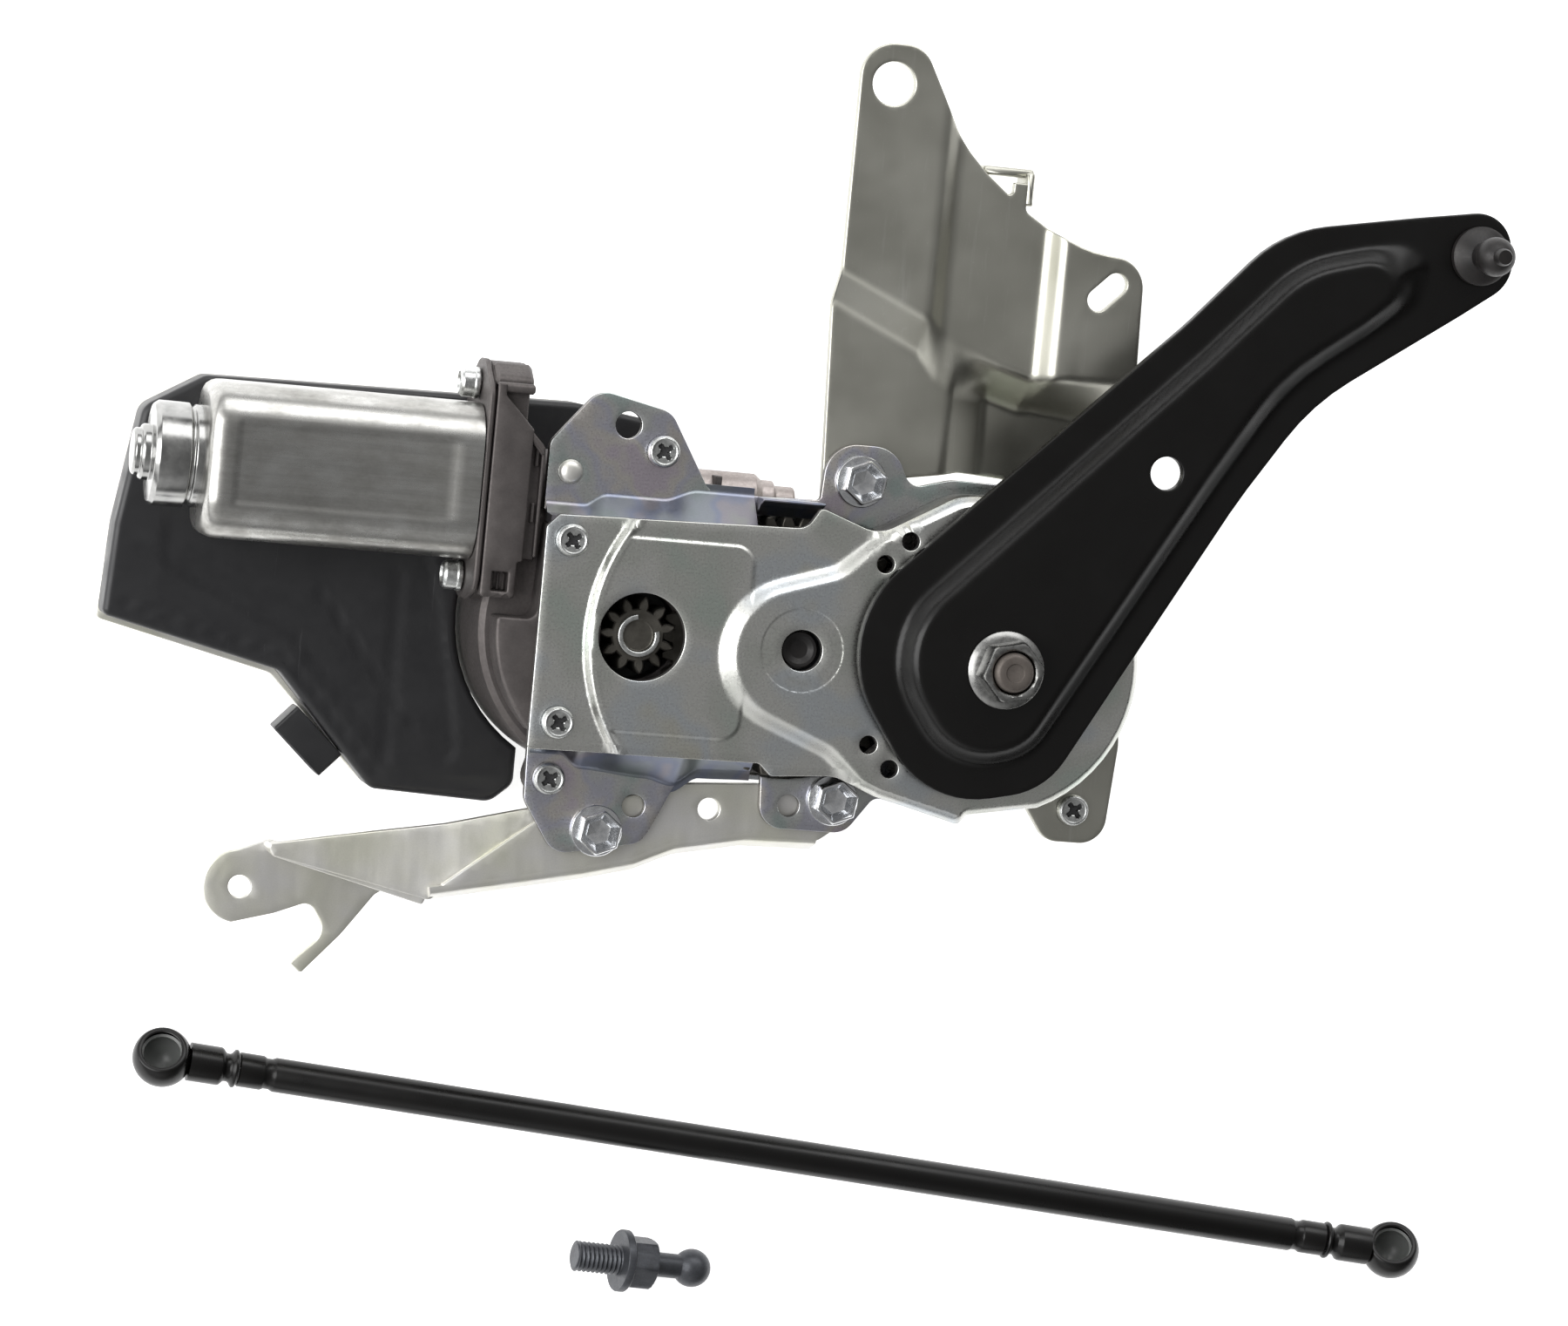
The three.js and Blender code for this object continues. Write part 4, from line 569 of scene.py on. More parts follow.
def sandwich(outline, holes, top, bottom, pitch, rows=EDGE_ROWS, edge=0.4, creases=()):
    """A sheet between two height functions of (points, distance to the outline).

    Its upper edges are rolled over by the edge radius, so that a cut edge catches the light. Creases are
    arrays of extra points where the surface bends tightly.
    """
    rings = [densified(np.asarray(ring, float), pitch) for ring in (outline, *holes)]
    fixed = np.vstack(rings)
    edges, base = [], 0
    for ring in rings:
        edges += [(base + i, base + (i + 1) % len(ring)) for i in range(len(ring))]
        base += len(ring)
    low, high = fixed.min(0), fixed.max(0)
    grid = np.stack(np.meshgrid(np.arange(low[0], high[0], pitch), np.arange(low[1], high[1], pitch * 0.87)), -1)
    grid[1::2, :, 0] += pitch / 2
    grid = grid.reshape(-1, 2)

    def clearance(points):
        return np.min([edge_distance(points, ring) for ring in rings], axis=0)

    def within(points):
        keep = inside(points, rings[0])
        for ring in rings[1:]:
            keep &= ~inside(points, ring)
        return keep

    last_row = max(rows, default=0)
    grid = grid[within(grid)]
    grid = grid[clearance(grid) > last_row + 0.45 * pitch]
    free = [grid]
    for crease in creases:
        crease = crease[within(crease)]
        free.append(crease[clearance(crease) > last_row + 0.2])
    for row in rows:
        for i, ring in enumerate(rings):
            shifted = moved_in(ring, row if is_anticlockwise(ring) == (i == 0) else -row)
            shifted = shifted[within(shifted)]
            free.append(shifted[clearance(shifted) > 0.93 * row])
    points = np.vstack([fixed, *free])
    made = delaunay_2d_cdt([Vector(p) for p in points], edges, [], 1, 1e-5)
    flat = np.array([tuple(p) for p in made[0]])
    triangles = np.array([tuple(face) for face in made[2]])
    triangles = triangles[within(flat[triangles].mean(1))]
    a, b, c = (flat[triangles[:, k]] for k in range(3))
    flip = (b[:, 0] - a[:, 0]) * (c[:, 1] - a[:, 1]) < (b[:, 1] - a[:, 1]) * (c[:, 0] - a[:, 0])
    triangles[flip] = triangles[flip][:, ::-1]
    to_edge = edge_distance(flat, rings[0])
    near = clearance(flat)
    roll = np.where(near < edge, edge - np.sqrt(np.maximum(edge ** 2 - (edge - np.minimum(near, edge)) ** 2, 0)), 0)
    upper = np.column_stack((flat, top(flat, to_edge) - roll))
    lower = np.column_stack((flat, bottom(flat, to_edge)))
    count = len(flat)
    sides = {}
    for tri in triangles:
        for i, j in ((0, 1), (1, 2), (2, 0)):
            sides[(tri[i], tri[j])] = True
    walls = [(i, i + count, j + count, j) for i, j in sides if (j, i) not in sides]
    faces = [tuple(t) for t in triangles] + [tuple(t[::-1] + count) for t in triangles] + walls
    return np.vstack((upper, lower)), faces


def is_anticlockwise(ring):
    following = np.roll(ring, -1, 0)
    return (ring[:, 0] * following[:, 1] - following[:, 0] * ring[:, 1]).sum() > 0


def flat_plate(outline, holes, z0, z1, pitch=3.0, edge=0.4):
    return sandwich(outline, holes, lambda p, d: np.full(len(p), z1), lambda p, d: np.full(len(p), z0), pitch,
                    (edge * 0.12, edge * 0.38, edge), edge)


def rings_mesh(rings, closed_ends=True):
    """Rings of equally many 3-D points joined by quads, with flat caps."""
    count = len(rings[0])
    faces = []
    for k in range(len(rings) - 1):
        for i in range(count):
            j = (i + 1) % count
            faces.append((k * count + i, k * count + j, (k + 1) * count + j, (k + 1) * count + i))
    if closed_ends:
        last = (len(rings) - 1) * count
        faces.append(tuple(range(count))[::-1])
        faces.append(tuple(last + i for i in range(count)))
    return np.vstack(rings), faces


def solid_ring(rings):
    """The same, but the last ring joins the first: a tube or washer."""
    vertices, faces = rings_mesh([*rings, rings[0]], False)
    count, levels = len(rings[0]), len(rings)
    return vertices[:count * levels], [tuple(i % (count * levels) for i in face) for face in faces]


def lathe(profile, sides=64):
    """A profile of (radius, height) turned round Z; it starts and ends on the axis, or closes on itself."""
    solid = profile[0][0] == 0
    points = [p for p in profile if p[0] > 0]
    angle = np.arange(sides) * 2 * math.pi / sides
    rings = [np.column_stack((r * np.cos(angle), r * np.sin(angle), np.full(sides, float(z)))) for r, z in points]
    if not solid:
        return solid_ring(rings)
    vertices, faces = rings_mesh(rings, False)
    vertices = np.vstack((vertices, (0, 0, profile[0][1]), (0, 0, profile[-1][1])))
    bottom, top = len(vertices) - 2, len(vertices) - 1
    last = (len(rings) - 1) * sides
    for i in range(sides):
        j = (i + 1) % sides
        faces.append((bottom, j, i))
        faces.append((top, last + i, last + j))
    return vertices, faces


def ball_points(radius, centre, from_deg, to_deg, steps):
    angles = np.radians(np.linspace(from_deg, to_deg, steps + 1))
    return [(max(radius * math.cos(a), 0), centre + radius * math.sin(a)) for a in angles]


def fillet(corner, before, after, radius, steps=4):
    """Points of an arc that rounds a profile corner between its neighbours."""
    corner, before, after = (np.array(p, float) for p in (corner, before, after))
    u, v = before - corner, after - corner
    u, v = u / np.linalg.norm(u), v / np.linalg.norm(v)
    half = math.acos(np.clip(u @ v, -1, 1)) / 2
    reach = radius / math.tan(half)
    first, last = corner + u * reach, corner + v * reach
    return [tuple((1 - t) ** 2 * first + 2 * t * (1 - t) * corner + t * t * last) for t in np.linspace(0, 1, steps + 1)]


def soft_profile(points, radius=0.4):
    """The profile with every inner corner rounded."""
    out = [tuple(points[0])]
    for before, corner, after in zip(points, points[1:], points[2:]):
        span = min(math.dist(before, corner), math.dist(corner, after)) / 2
        u = np.subtract(before, corner)
        v = np.subtract(after, corner)
        half = math.acos(np.clip(u @ v / np.linalg.norm(u) / np.linalg.norm(v), -1, 1)) / 2
        r = min(radius, span * math.tan(half) * 0.95)
        out += fillet(corner, before, after, r)
    out.append(tuple(points[-1]))
    return out


def shifted(shell, x=0.0, y=0.0, z=0.0):
    vertices, faces = shell
    return vertices + (x, y, z), faces


def along_x(shell, y=MOTOR[0], z=MOTOR[1]):
    """A shell built along +Z is laid along +X."""
    vertices, faces = shell
    laid = np.column_stack((vertices[:, 2], vertices[:, 1], -vertices[:, 0]))
    return laid + (0, y, z), faces


def placed(shell, at, direction):
    vertices, faces = shell
    turn = np.array(Vector((0, 0, 1)).rotation_difference(Vector(direction)).to_matrix())
    return vertices @ turn.T + np.asarray(at, float), faces


def prism(outline, z0, z1, edge=0.3):
    """An extruded outline with both rims bevelled."""
    ring = np.asarray(outline, float)
    if not is_anticlockwise(ring):
        ring = ring[::-1]
    levels = [(edge, z0), (0, z0 + edge), (0, z1 - edge), (edge, z1)]
    rings = [np.column_stack((moved_in(ring, d) if d else ring, np.full(len(ring), z))) for d, z in levels]
    return rings_mesh(rings)


def strip(stations, thickness):
    """A formed strip: each station is a row of points across its outer face, thickened inwards.

    The points of a row lie in one plane, and the strip is closed at both ends.
    """
    rings = []
    for row in np.asarray(stations, float):
        step = np.gradient(row, axis=0)
        chord = row[-1] - row[0]
        across = np.cross(chord, (0, 0, 1))
        across /= np.linalg.norm(across)
        normal = np.cross(across, step)
        normal /= np.linalg.norm(normal, axis=1)[:, None]
        rings.append(np.vstack((row, (row - normal * thickness)[::-1])))
    return rings_mesh(rings)


# ---------------------------------------------------------------- pressed-steel case

ROUND_END = arc_corners(0, 0, 38.5, -66, 36, 4)
PLATE_SCREWS = [(-110.1, 22.5), (-109.5, -22.9)]
HEX_BOLTS = {"lower_left": (-95, -50.2), "lower_right": (-35, -38.1), "upper": (-35.5, 42.8)}
SMALL_HOLES = [(-30.7, 23.3), (-24.8, 29.5), (-30.7, -22.2), (-24.7, -27.9)]
EAR_SCREWS = [(-87, 46), (-108.4, -38)]
EAR_HOLES = [(-96.3, 51.8, 3.4), (-86, -43.4, 2.9), (-46.1, -40.4, 2.8)]
RIVET = (-110, 39)
FOOT_SCREW = (31.4, -37)

COVER_OUTLINE = [
    (-116.4, -30, 1), (-66, -29.3, 2), (-57.5, -29.2, 2), (-54.3, -32.2, 1.5), (-38, -31, 8), (-27, -35.4, 5),
    (-4.6, -41, 1.5), (-2.6, -38.3, 1), *ROUND_END, (12, 42.6, 22), (-12, 42, 14), (-32.5, 30.4, 9),
    (-47.6, 35.8, 1.5), (-51, 30.4, 4.5), (-113.6, 28.6, 1), (-116.6, 25.4, 1),
]
BOSS_FOOT = [
    (-32, -34.6, 2), (-27, -35.4, 5), (-4.6, -41, 1.5), (-2.6, -38.3, 1), *ROUND_END, (12, 42.6, 22),
    (-12, 42, 14), (-33, 31, 5), (-43.5, 22.3, 9), *arc_corners(-51, -1.6, 20.4, 108, 250, 3), (-42, -27, 9),
]
BOSS_TOP = [
    (-30.5, -31.5, 2), (-26.4, -33.4, 4), (-5.6, -38.6, 1.5), (-2.8, -36.6, 1),
    *arc_corners(0, 0, 36.7, -66, 36, 4), (11.4, 40.6, 20), (-11.6, 39.6, 12), (-30.8, 28.6, 5), (-40.5, 18.4, 12),
    *arc_corners(-50.4, -1.2, 15.7, 108, 250, 3), (-39.2, -22.8, 12),
]
PAD = [(-112, -24, 5), (-63.6, -24, 5), (-63.6, 24.6, 5), (-112, 24.6, 5)]


def front_case(materials):
    outline = rounded(COVER_OUTLINE)
    foot, crest, pad = rounded(BOSS_FOOT), rounded(BOSS_TOP), rounded(PAD)

    def top(p, edge):
        to_rib = np.linalg.norm(p - (-54, 0), axis=1)
        left = p[:, 0] < -70
        step = np.where(left, smooth((to_rib - 49.4) / 1.7), 0)
        rib = np.where(left, 0.55 * np.exp(-((to_rib - 49.0) / 0.75) ** 2), 0)
        lift = 0.5 * smooth(signed(p, pad) / 1.1 + 0.5) * (1 - smooth((to_rib - 47.9) / 1.0))
        boss = between(p, foot, crest)
        crown = 0.15 * smooth((10.7 - np.linalg.norm(p - PIN, axis=1)) / 0.4)
        skirt_edge = np.where(p[:, 0] > -33, 0.6 * (1 - smooth(edge / 1.4)), 0)
        return 57 - 1.5 * step + rib + lift * (1 - boss) + 3 * boss - crown - skirt_edge

    def bottom(p, edge):
        skirt = (edge < 2.4) & (p[:, 0] > -32) & (signed(p, foot) > -0.3)
        return np.where(skirt, EAR_TOP + 0.3, top(p, edge) - SHEET)

    holes = [circle(*CLUTCH, 11, 72), circle(*PIN, 5.2), circle(0, 0, 13.3, 72)]
    holes += [circle(*at, 2.8, 24) for at in PLATE_SCREWS] + [circle(*at, 2.3, 24) for at in SMALL_HOLES]
    angles = np.radians(np.arange(138, 222, 0.9))
    creases = [np.column_stack((-54 + r * np.cos(angles), r * np.sin(angles)))
               for r in np.arange(46.9, 52.0, 0.35)]
    pin_angles = np.radians(np.arange(0, 360, 4))
    creases += [np.column_stack((PIN[0] + r * np.cos(pin_angles), PIN[1] + r * np.sin(pin_angles)))
                for r in (10.1, 10.3, 10.5, 10.7, 10.9)]
    creases += [moved_in(densified(pad, 0.8), d) for d in np.arange(-1.0, 1.1, 0.3)]
    creases += [moved_in(densified(ring, 0.8), d) for ring in (foot, crest) for d in (-0.8, -0.4, 0.01, 0.4, 0.8)]
    shell = sandwich(outline, holes, top, bottom, 1.0, (0.05, 0.2, 2.3, 2.5), 0.2, creases)
    piece("front_case_pressing", [shell], materials["zinc_plated_sheet"], "drive_unit",
          ["front_case"], 60, materials["cut_steel"])


GEAR_CASE_OUTLINE = [
    (-114.4, -30, 1), (-114, -43.8, 5), (-105.4, -57, 6), (-83, -52.6, 6), (-76, -37.6, 3), (-71, -33.6, 4),
    (-54, -33.2, 1), (-53.2, -46.4, 6), (-31, -46.4, 6), (-24, -36.6, 3), (-4.6, -41, 1.5), (-2.6, -38.3, 1),
    *ROUND_END, (12, 45, 22), (-12, 45.2, 12), (-22.5, 42.2, 4), (-27.2, 52, 8.4), (-44.6, 52, 8.4),
    (-45.4, 37.2, 1),
    (-74, 36.6, 5), (-85.6, 56, 6), (-104.4, 60, 6), (-115.8, 46, 4), (-115.8, 30, 1),
]
UPPER_WALL = [(-115.4, 31, 29.4), (-106, 31, 29.4), (-100, 34, 29.5), (-86, 34, 29.7), (-77, 36.8, 29.9),
              (-62.6, 36.8, 30)]
LOWER_WALL = [(-113.8, -31.4, -30.2), (-106, -31.4, -30), (-101, -34.6, -29.9), (-84, -35.8, -29.8),
              (-77, -37.2, -29.7), (-70, -33.2, -29.6), (-57, -32.8, -29.4)]


WALL_SLOPE = math.tan(math.radians(47))


def sloping_wall(stations):
    """The wall's foot and top edge run in smooth S-curves between the stations (x, foot y, top y)."""
    table = np.array(stations, float)
    top = 57 - SHEET - 0.3
    side = math.copysign(1, table[0, 1])
    rows = []
    for x in np.arange(table[0, 0], table[-1, 0] + 0.01, 0.8):
        i = min(np.searchsorted(table[:, 0], x, "right") - 1, len(table) - 2)
        t = smooth((x - table[i, 0]) / (table[i + 1, 0] - table[i, 0]))
        _, foot, edge = table[i] + (table[i + 1] - table[i]) * t
        inner = edge - side * 0.8
        low, outer = (foot, EAR_TOP - 0.05), (foot + side * 2, EAR_TOP - 0.05)
        knee = (inner, min(EAR_TOP + abs(foot - inner) * WALL_SLOPE, top - 0.4))
        high = (inner - side * 0.4, top)
        section = [outer, *fillet(low, outer, knee, 2.2, 7), *fillet(knee, low, high, 0.5, 4), high]
        row = np.array([(x, y, z) for y, z in section])
        rows.append(row if side > 0 else row[::-1])
    return strip(rows, EAR_SHEET)


def gear_case(materials):
    inner = [(-115.8, 29, 0.5), *arc_corners(*PIN, 33.7, 121.6, -121.1, 8), (-114.4, -29.2, 0.5)]
    plate = rounded(GEAR_CASE_OUTLINE + inner)
    holes = [circle(0, 0, 11, 48)] + [circle(x, y, 2.8, 24) for x, y in EAR_SCREWS]
    holes += [circle(x, y, 3.3, 24) for x, y in HEX_BOLTS.values()]
    holes += [circle(x, y, r, 32) for x, y, r in EAR_HOLES]
    holes.append(circle(*RIVET, 2.3, 20))
    flat = flat_plate(plate, holes, EAR_TOP - EAR_SHEET, EAR_TOP, 2.0, 0.2)
    piece("gear_case_pressing", [flat], materials["zinc_plated_ears"], "drive_unit",
          ["gear_case"], 32, materials["cut_steel"])
    window = slab_x([(36.9, 46.7, 0.3), (36.9, 54, 0.5), (36.2, 54, 0.3), (35, 50.4, 1.5), (32.4, 47.7, 0.5),
                     (32.4, 46.7, 0.3)], -62.2, -46, 0.2)
    # The walls and the window slab take the darker zinc, which paints shade onto them.
    piece("gear_case_walls", [sloping_wall(UPPER_WALL), sloping_wall(LOWER_WALL), window],
          materials["zinc_walls_painted_shade"], "drive_unit", ["gear_case"], 32)


def rear_case(materials):
    outline = rounded([
        (-62, -34.7, 3), (-29, -34.7, 6), (-20, -36, 6), *arc_corners(0, 0, 37, -66, 36, 4), (12, 42, 20),
        (-12, 41, 12), (-26, 34.7, 8), (-62, 34.7, 3),
    ])

    def top(p, edge):
        return np.where(edge < 1.2, EAR_TOP - EAR_SHEET - 0.3, 37.5)

    def bottom(p, edge):
        return np.full(len(p), 37.5 - SHEET) + 1.6 * (1 - smooth(edge / 1.6))

    shell = sandwich(outline, [circle(0, 0, 9, 40)], top, bottom, 2.0, (0.3, 0.7, 1.1, 1.3, 2.2), 0.1)
    piece("rear_case_pressing", [shell], materials["zinc_plated_sheet"], "drive_unit",
          ["rear_case"], 32)


# ---------------------------------------------------------------- gears, pins and shafts

def gear_outline(at, teeth, module, tip, root, first_deg):
    pressure = math.radians(25)
    pitch_r = teeth * module / 2
    base_r = pitch_r * math.cos(pressure)
    half_at_pitch = math.pi / (2 * teeth) - 0.125 / pitch_r

    def half_at(r):
        angle = math.acos(base_r / r) if r > base_r else 0
        return half_at_pitch + (math.tan(pressure) - pressure) - (math.tan(angle) - angle)

    lowest = max(root, base_r)
    radii = [root] if root < lowest - 1e-6 else []
    radii += list(np.linspace(lowest, tip, 5))
    outline = []
    for i in range(teeth):
        middle = math.radians(first_deg) + 2 * math.pi * i / teeth
        outline += [(r, middle - half_at(r)) for r in radii]
        outline += [(r, middle + half_at(r)) for r in reversed(radii)]
    return np.array([(at[0] + r * math.cos(a), at[1] + r * math.sin(a)) for r, a in outline])


def gears(materials):
    wheel = prism(gear_outline(PIN, 43, 1.5, 33.1, 30.3, 180), 39, 46.5, 0.25)
    web = shifted(lathe([(9.4, 46.4), (9.4, 46.7), (13, 46.7), (13, 46.4)], 48), *PIN)
    piece("intermediate_wheel", [wheel, web], materials["sintered_steel"], "intermediate",
          ["intermediate_gear"])
    pinion = prism(gear_outline(CLUTCH, 11, 1.5, 9.7, 6.7, 180 / 11), 39, 52.2, 0.35)
    nose = [(0, 5), (5, 5), (6, 6), (6, 38), (6.6, 38.4), (6.6, 39.5), (4.7, 39.6), (4.7, 52.1), (3.9, 52.3),
            (3.6, 52.2), (3.5, 47.6), (0, 47.2)]
    piece("pinion_shaft_turned", [pinion, shifted(lathe(soft_profile(nose, 0.3), 48), *CLUTCH)],
          materials["sintered_steel"], "clutch_output", ["pinion_shaft"])
    rings = []
    for angle in np.radians(np.linspace(58 + 40, 58 + 318, 60)):
        section = rounded([(4, 52.6, 0.3), (5.4, 52.6, 0.3), (5.4, 53.8, 0.4), (4, 53.8, 0.4)], 30)
        across = np.array((math.cos(angle), math.sin(angle)))
        rings.append(np.array([(*(CLUTCH + r * across), z) for r, z in section]))
    piece("snap_ring_wire", [rings_mesh(rings)], materials["fastener_zinc"], "clutch_output",
          ["snap_ring"])
    pin = [(0, 33.2), (6.4, 33.2), (6.4, 34.7), (4.9, 34.8), (4.9, 56.3), (4.4, 57), (3.6, 56.9), (2.2, 56.2),
           (0, 56.1)]
    piece("intermediate_pin_turned", [shifted(lathe(soft_profile(pin, 0.3), 48), *PIN)],
          materials["blackened_steel"], "drive_unit", ["intermediate_pin"])


def output_shaft(materials):
    stem = [(0, 4), (6.5, 4), (7.2, 5), (7.2, 46.4), (10, 46.5), (10, 66.8), (6, 67), (6, 70), (5, 70.4)]
    thread = [(5 - 0.35 * (k % 2), 70.6 + 0.5 * k) for k in range(17)]
    end = [(4.9, 79.2), (4.5, 79.9), (3.9, 80.2), (2.4, 80.1), (2.2, 79.8), (0, 79.6)]
    piece("output_shaft_turned", [lathe(stem + thread + end, 56)], materials["shaft_end"], "output_arm",
          ["output_shaft"])
    bush = [(10.3, 55), (13, 55), (13, 60.3), (16, 60.4), (16, 61.6), (10.3, 61.6)]
    piece("front_bush_turned", [lathe(soft_profile(bush + bush[:1], 0.3), 64)], materials["bronze"], "drive_unit",
          ["front_bush"])
    cup = [(0, 0), (14.5, 0), (16, 1.5), (16, 29), (24, 29.2), (24, 31), (9.6, 31), (9.6, 3), (0, 3)]
    piece("rear_bearing_pressing", [lathe(soft_profile(cup, 0.5), 64)], materials["zinc_plated_sheet"], "drive_unit",
          ["rear_bearing_cup"])


# ---------------------------------------------------------------- clutch housing and its cover

def lug(x, y):
    """A round lug that grows out of the housing's side below an ear."""
    inwards = np.array(CLUTCH) - (x, y)
    far = np.array((x, y)) + inwards / np.linalg.norm(inwards) * 14
    levels = [(far, 5.5, 24), ((x, y), 5.5, 36), ((x, y), 5.5, 42), ((x, y), 5.1, 42.4)]
    return rings_mesh([np.column_stack((circle(*c, r, 28), np.full(28, float(z)))) for c, r, z in levels])


def clutch_housing(materials):
    drum = [(31, 3), (38.1, 3), (38.5, 3.4), (38.5, 41), (37.1, 42.4), (11.8, 42.4), (11.8, 35.8), (31, 35.8)]
    body = shifted(lathe(soft_profile(drum + drum[:1], 0.5), 128), *CLUTCH)
    step = rounded([*arc_corners(*CLUTCH, 36, 180, 226, 3), (-100, -26, 1), (-100, 26, 1), (-115.4, 26, 1),
                    (-116.6, 2, 3), (-126.4, 2, 1)])
    raised = flat_plate(step, [], 42, 52.8, 3.0, 0.8)
    sleeve = [(0, -117), (8.6, -117), (9.4, -116.2), (9.4, -77.6), (8.6, -77), (0, -77)]
    tube = along_x(lathe(soft_profile(sleeve, 0.4), 40))
    steps = [(0, -78), (7.8, -78), (7.8, -60.4), (6.4, -58.7), (6.4, -55.7), (5.2, -55), (5.2, -50.4), (4.8, -49.9),
             (0, -49.9)]
    nose_points, nose_faces = along_x(lathe(soft_profile(steps, 0.5), 40))
    above = np.maximum(nose_points[:, 2] - MOTOR[1], 0)
    nose_points[:, 2] -= above * 0.28  # the wheel turns above the nose
    piece("worm_nose_turned", [(nose_points, nose_faces)], materials["machined_casting"],
          "drive_unit", ["clutch_housing"])
    ribs = [prism(rounded([(x, 20, 0.3), (x + 1.6, 20, 0.3), (x + 1.6, 41, 0.3), (x, 41, 0.3)]), 20, 41.6)
            for x in (-72, -84)]
    lugs = [lug(*at) for at in (*EAR_SCREWS, RIVET)]
    piece("clutch_housing_casting", [body, raised, tube, *ribs, *lugs], materials["casting"], "drive_unit",
          ["clutch_housing"], 35)
    lid = [(0, 0), (34.5, 0), (35.2, 0.8), (35.2, 2.7), (30.6, 2.7), (30.6, 3.6), (12, 3.6), (12, 2.4), (0, 2.4)]
    piece("clutch_lid", [shifted(lathe(soft_profile(lid, 0.3), 72), *CLUTCH)], materials["zinc_plated_sheet"],
          "drive_unit", ["clutch_cover"])


# ---------------------------------------------------------------- motor

def can_section(grow, corner=11.0):
    """The can's rounded rectangle, as (z, y) offsets from the motor's axis."""
    z, y, r = 17 + grow, 19.5 + grow, max(corner + grow, 0.5)
    return rounded([(-z, -y, r), (z, -y, r), (z, y, r), (-z, y, r)], 6)


def along_motor(sections):
    """Rings from ((z, y) outline, x) pairs about the motor's axis."""
    return rings_mesh([np.column_stack((np.full(len(ring), x), MOTOR[0] + ring[:, 1], MOTOR[1] + ring[:, 0]))
                       for ring, x in sections])


def motor(materials):
    base = densified(can_section(0), 0.8)

    def grown(amount):
        return base * ((17 + amount) / 17, (19.5 + amount) / 19.5)

    def dished(depth):
        """The section with its upper flat sunk by the depth."""
        sunk = depth * smooth((11.2 - np.abs(base[:, 1])) / 2.2) * (base[:, 0] > 0)
        return base - np.column_stack((sunk, np.zeros(len(base))))

    wall = [(grown(-3.6), -201), (grown(-2.4), -200.9), (grown(-1.3), -200.3), (grown(-0.5), -199.2),
            (grown(-0.1), -198), (grown(0), -196.6), (grown(0), -195)]
    wall += [(dished(0.6 * depth), -195 + run) for depth, run in ((0.16, 0.6), (0.5, 1.2), (0.84, 1.8), (1, 2.4))]
    wall += [(dished(0.6 * depth), -137 - run) for depth, run in ((1, 4.8), (0.84, 3.6), (0.5, 2.4), (0.16, 1.2))]
    wall += [(grown(0), -137), (grown(0), -133)]
    boss = [(0, -218), (5.3, -218), (5.9, -217.4), (5.9, -216.2), (6.6, -216), (7, -215.4), (7, -213.7),
            (12.2, -213.5), (13.1, -212.3), (13.1, -204.8), (12.2, -204.3), (12.2, -203.7), (12.8, -203.2),
            (12.8, -200.8), (11.6, -200), (0, -200)]
    piece("motor_can_drawn", [along_motor(wall)], materials["drawn_steel"], "drive_unit",
          ["motor_can"], 35)
    piece("motor_boss_drawn", [along_x(lathe(soft_profile(boss, 0.45), 64))], materials["polished_steel"],
          "drive_unit", ["motor_can"], 35)
    end_bell(materials)
    for name, (y, z) in {"upper": (58.6, 33), "lower": (10.2, 33)}.items():
        head = [(0, -138), (2.4, -138.1), (3.3, -137.7), (3.7, -137.1), (3.7, -134.5), (4, -134.2), (4, -133.1),
                (2, -133), (2, -128.2), (0, -128.2)]
        groove = [(2.6, -138.15), (2.2, -137.4), (1.2, -137.2), (0, -137.2)]
        shell = along_x(lathe(soft_profile(list(reversed(groove)) + head[2:], 0.25), 40), y, z)
        piece("motor_screw_" + name + "_head", [shell], materials["fastener_zinc"], "drive_unit",
              ["motor_screw_" + name])


def slab_x(corners, x0, x1, edge=0.4):
    """A prism along X from corners (y, z, radius)."""
    ring = rounded(corners, 10)
    if not is_anticlockwise(ring):
        ring = ring[::-1]
    levels = [(edge, x0), (0, x0 + edge), (0, x1 - edge), (edge, x1)]
    rings = []
    for inset, x in levels:
        yz = moved_in(ring, inset) if inset else ring
        rings.append(np.column_stack((np.full(len(yz), x), yz)))
    return rings_mesh(rings)


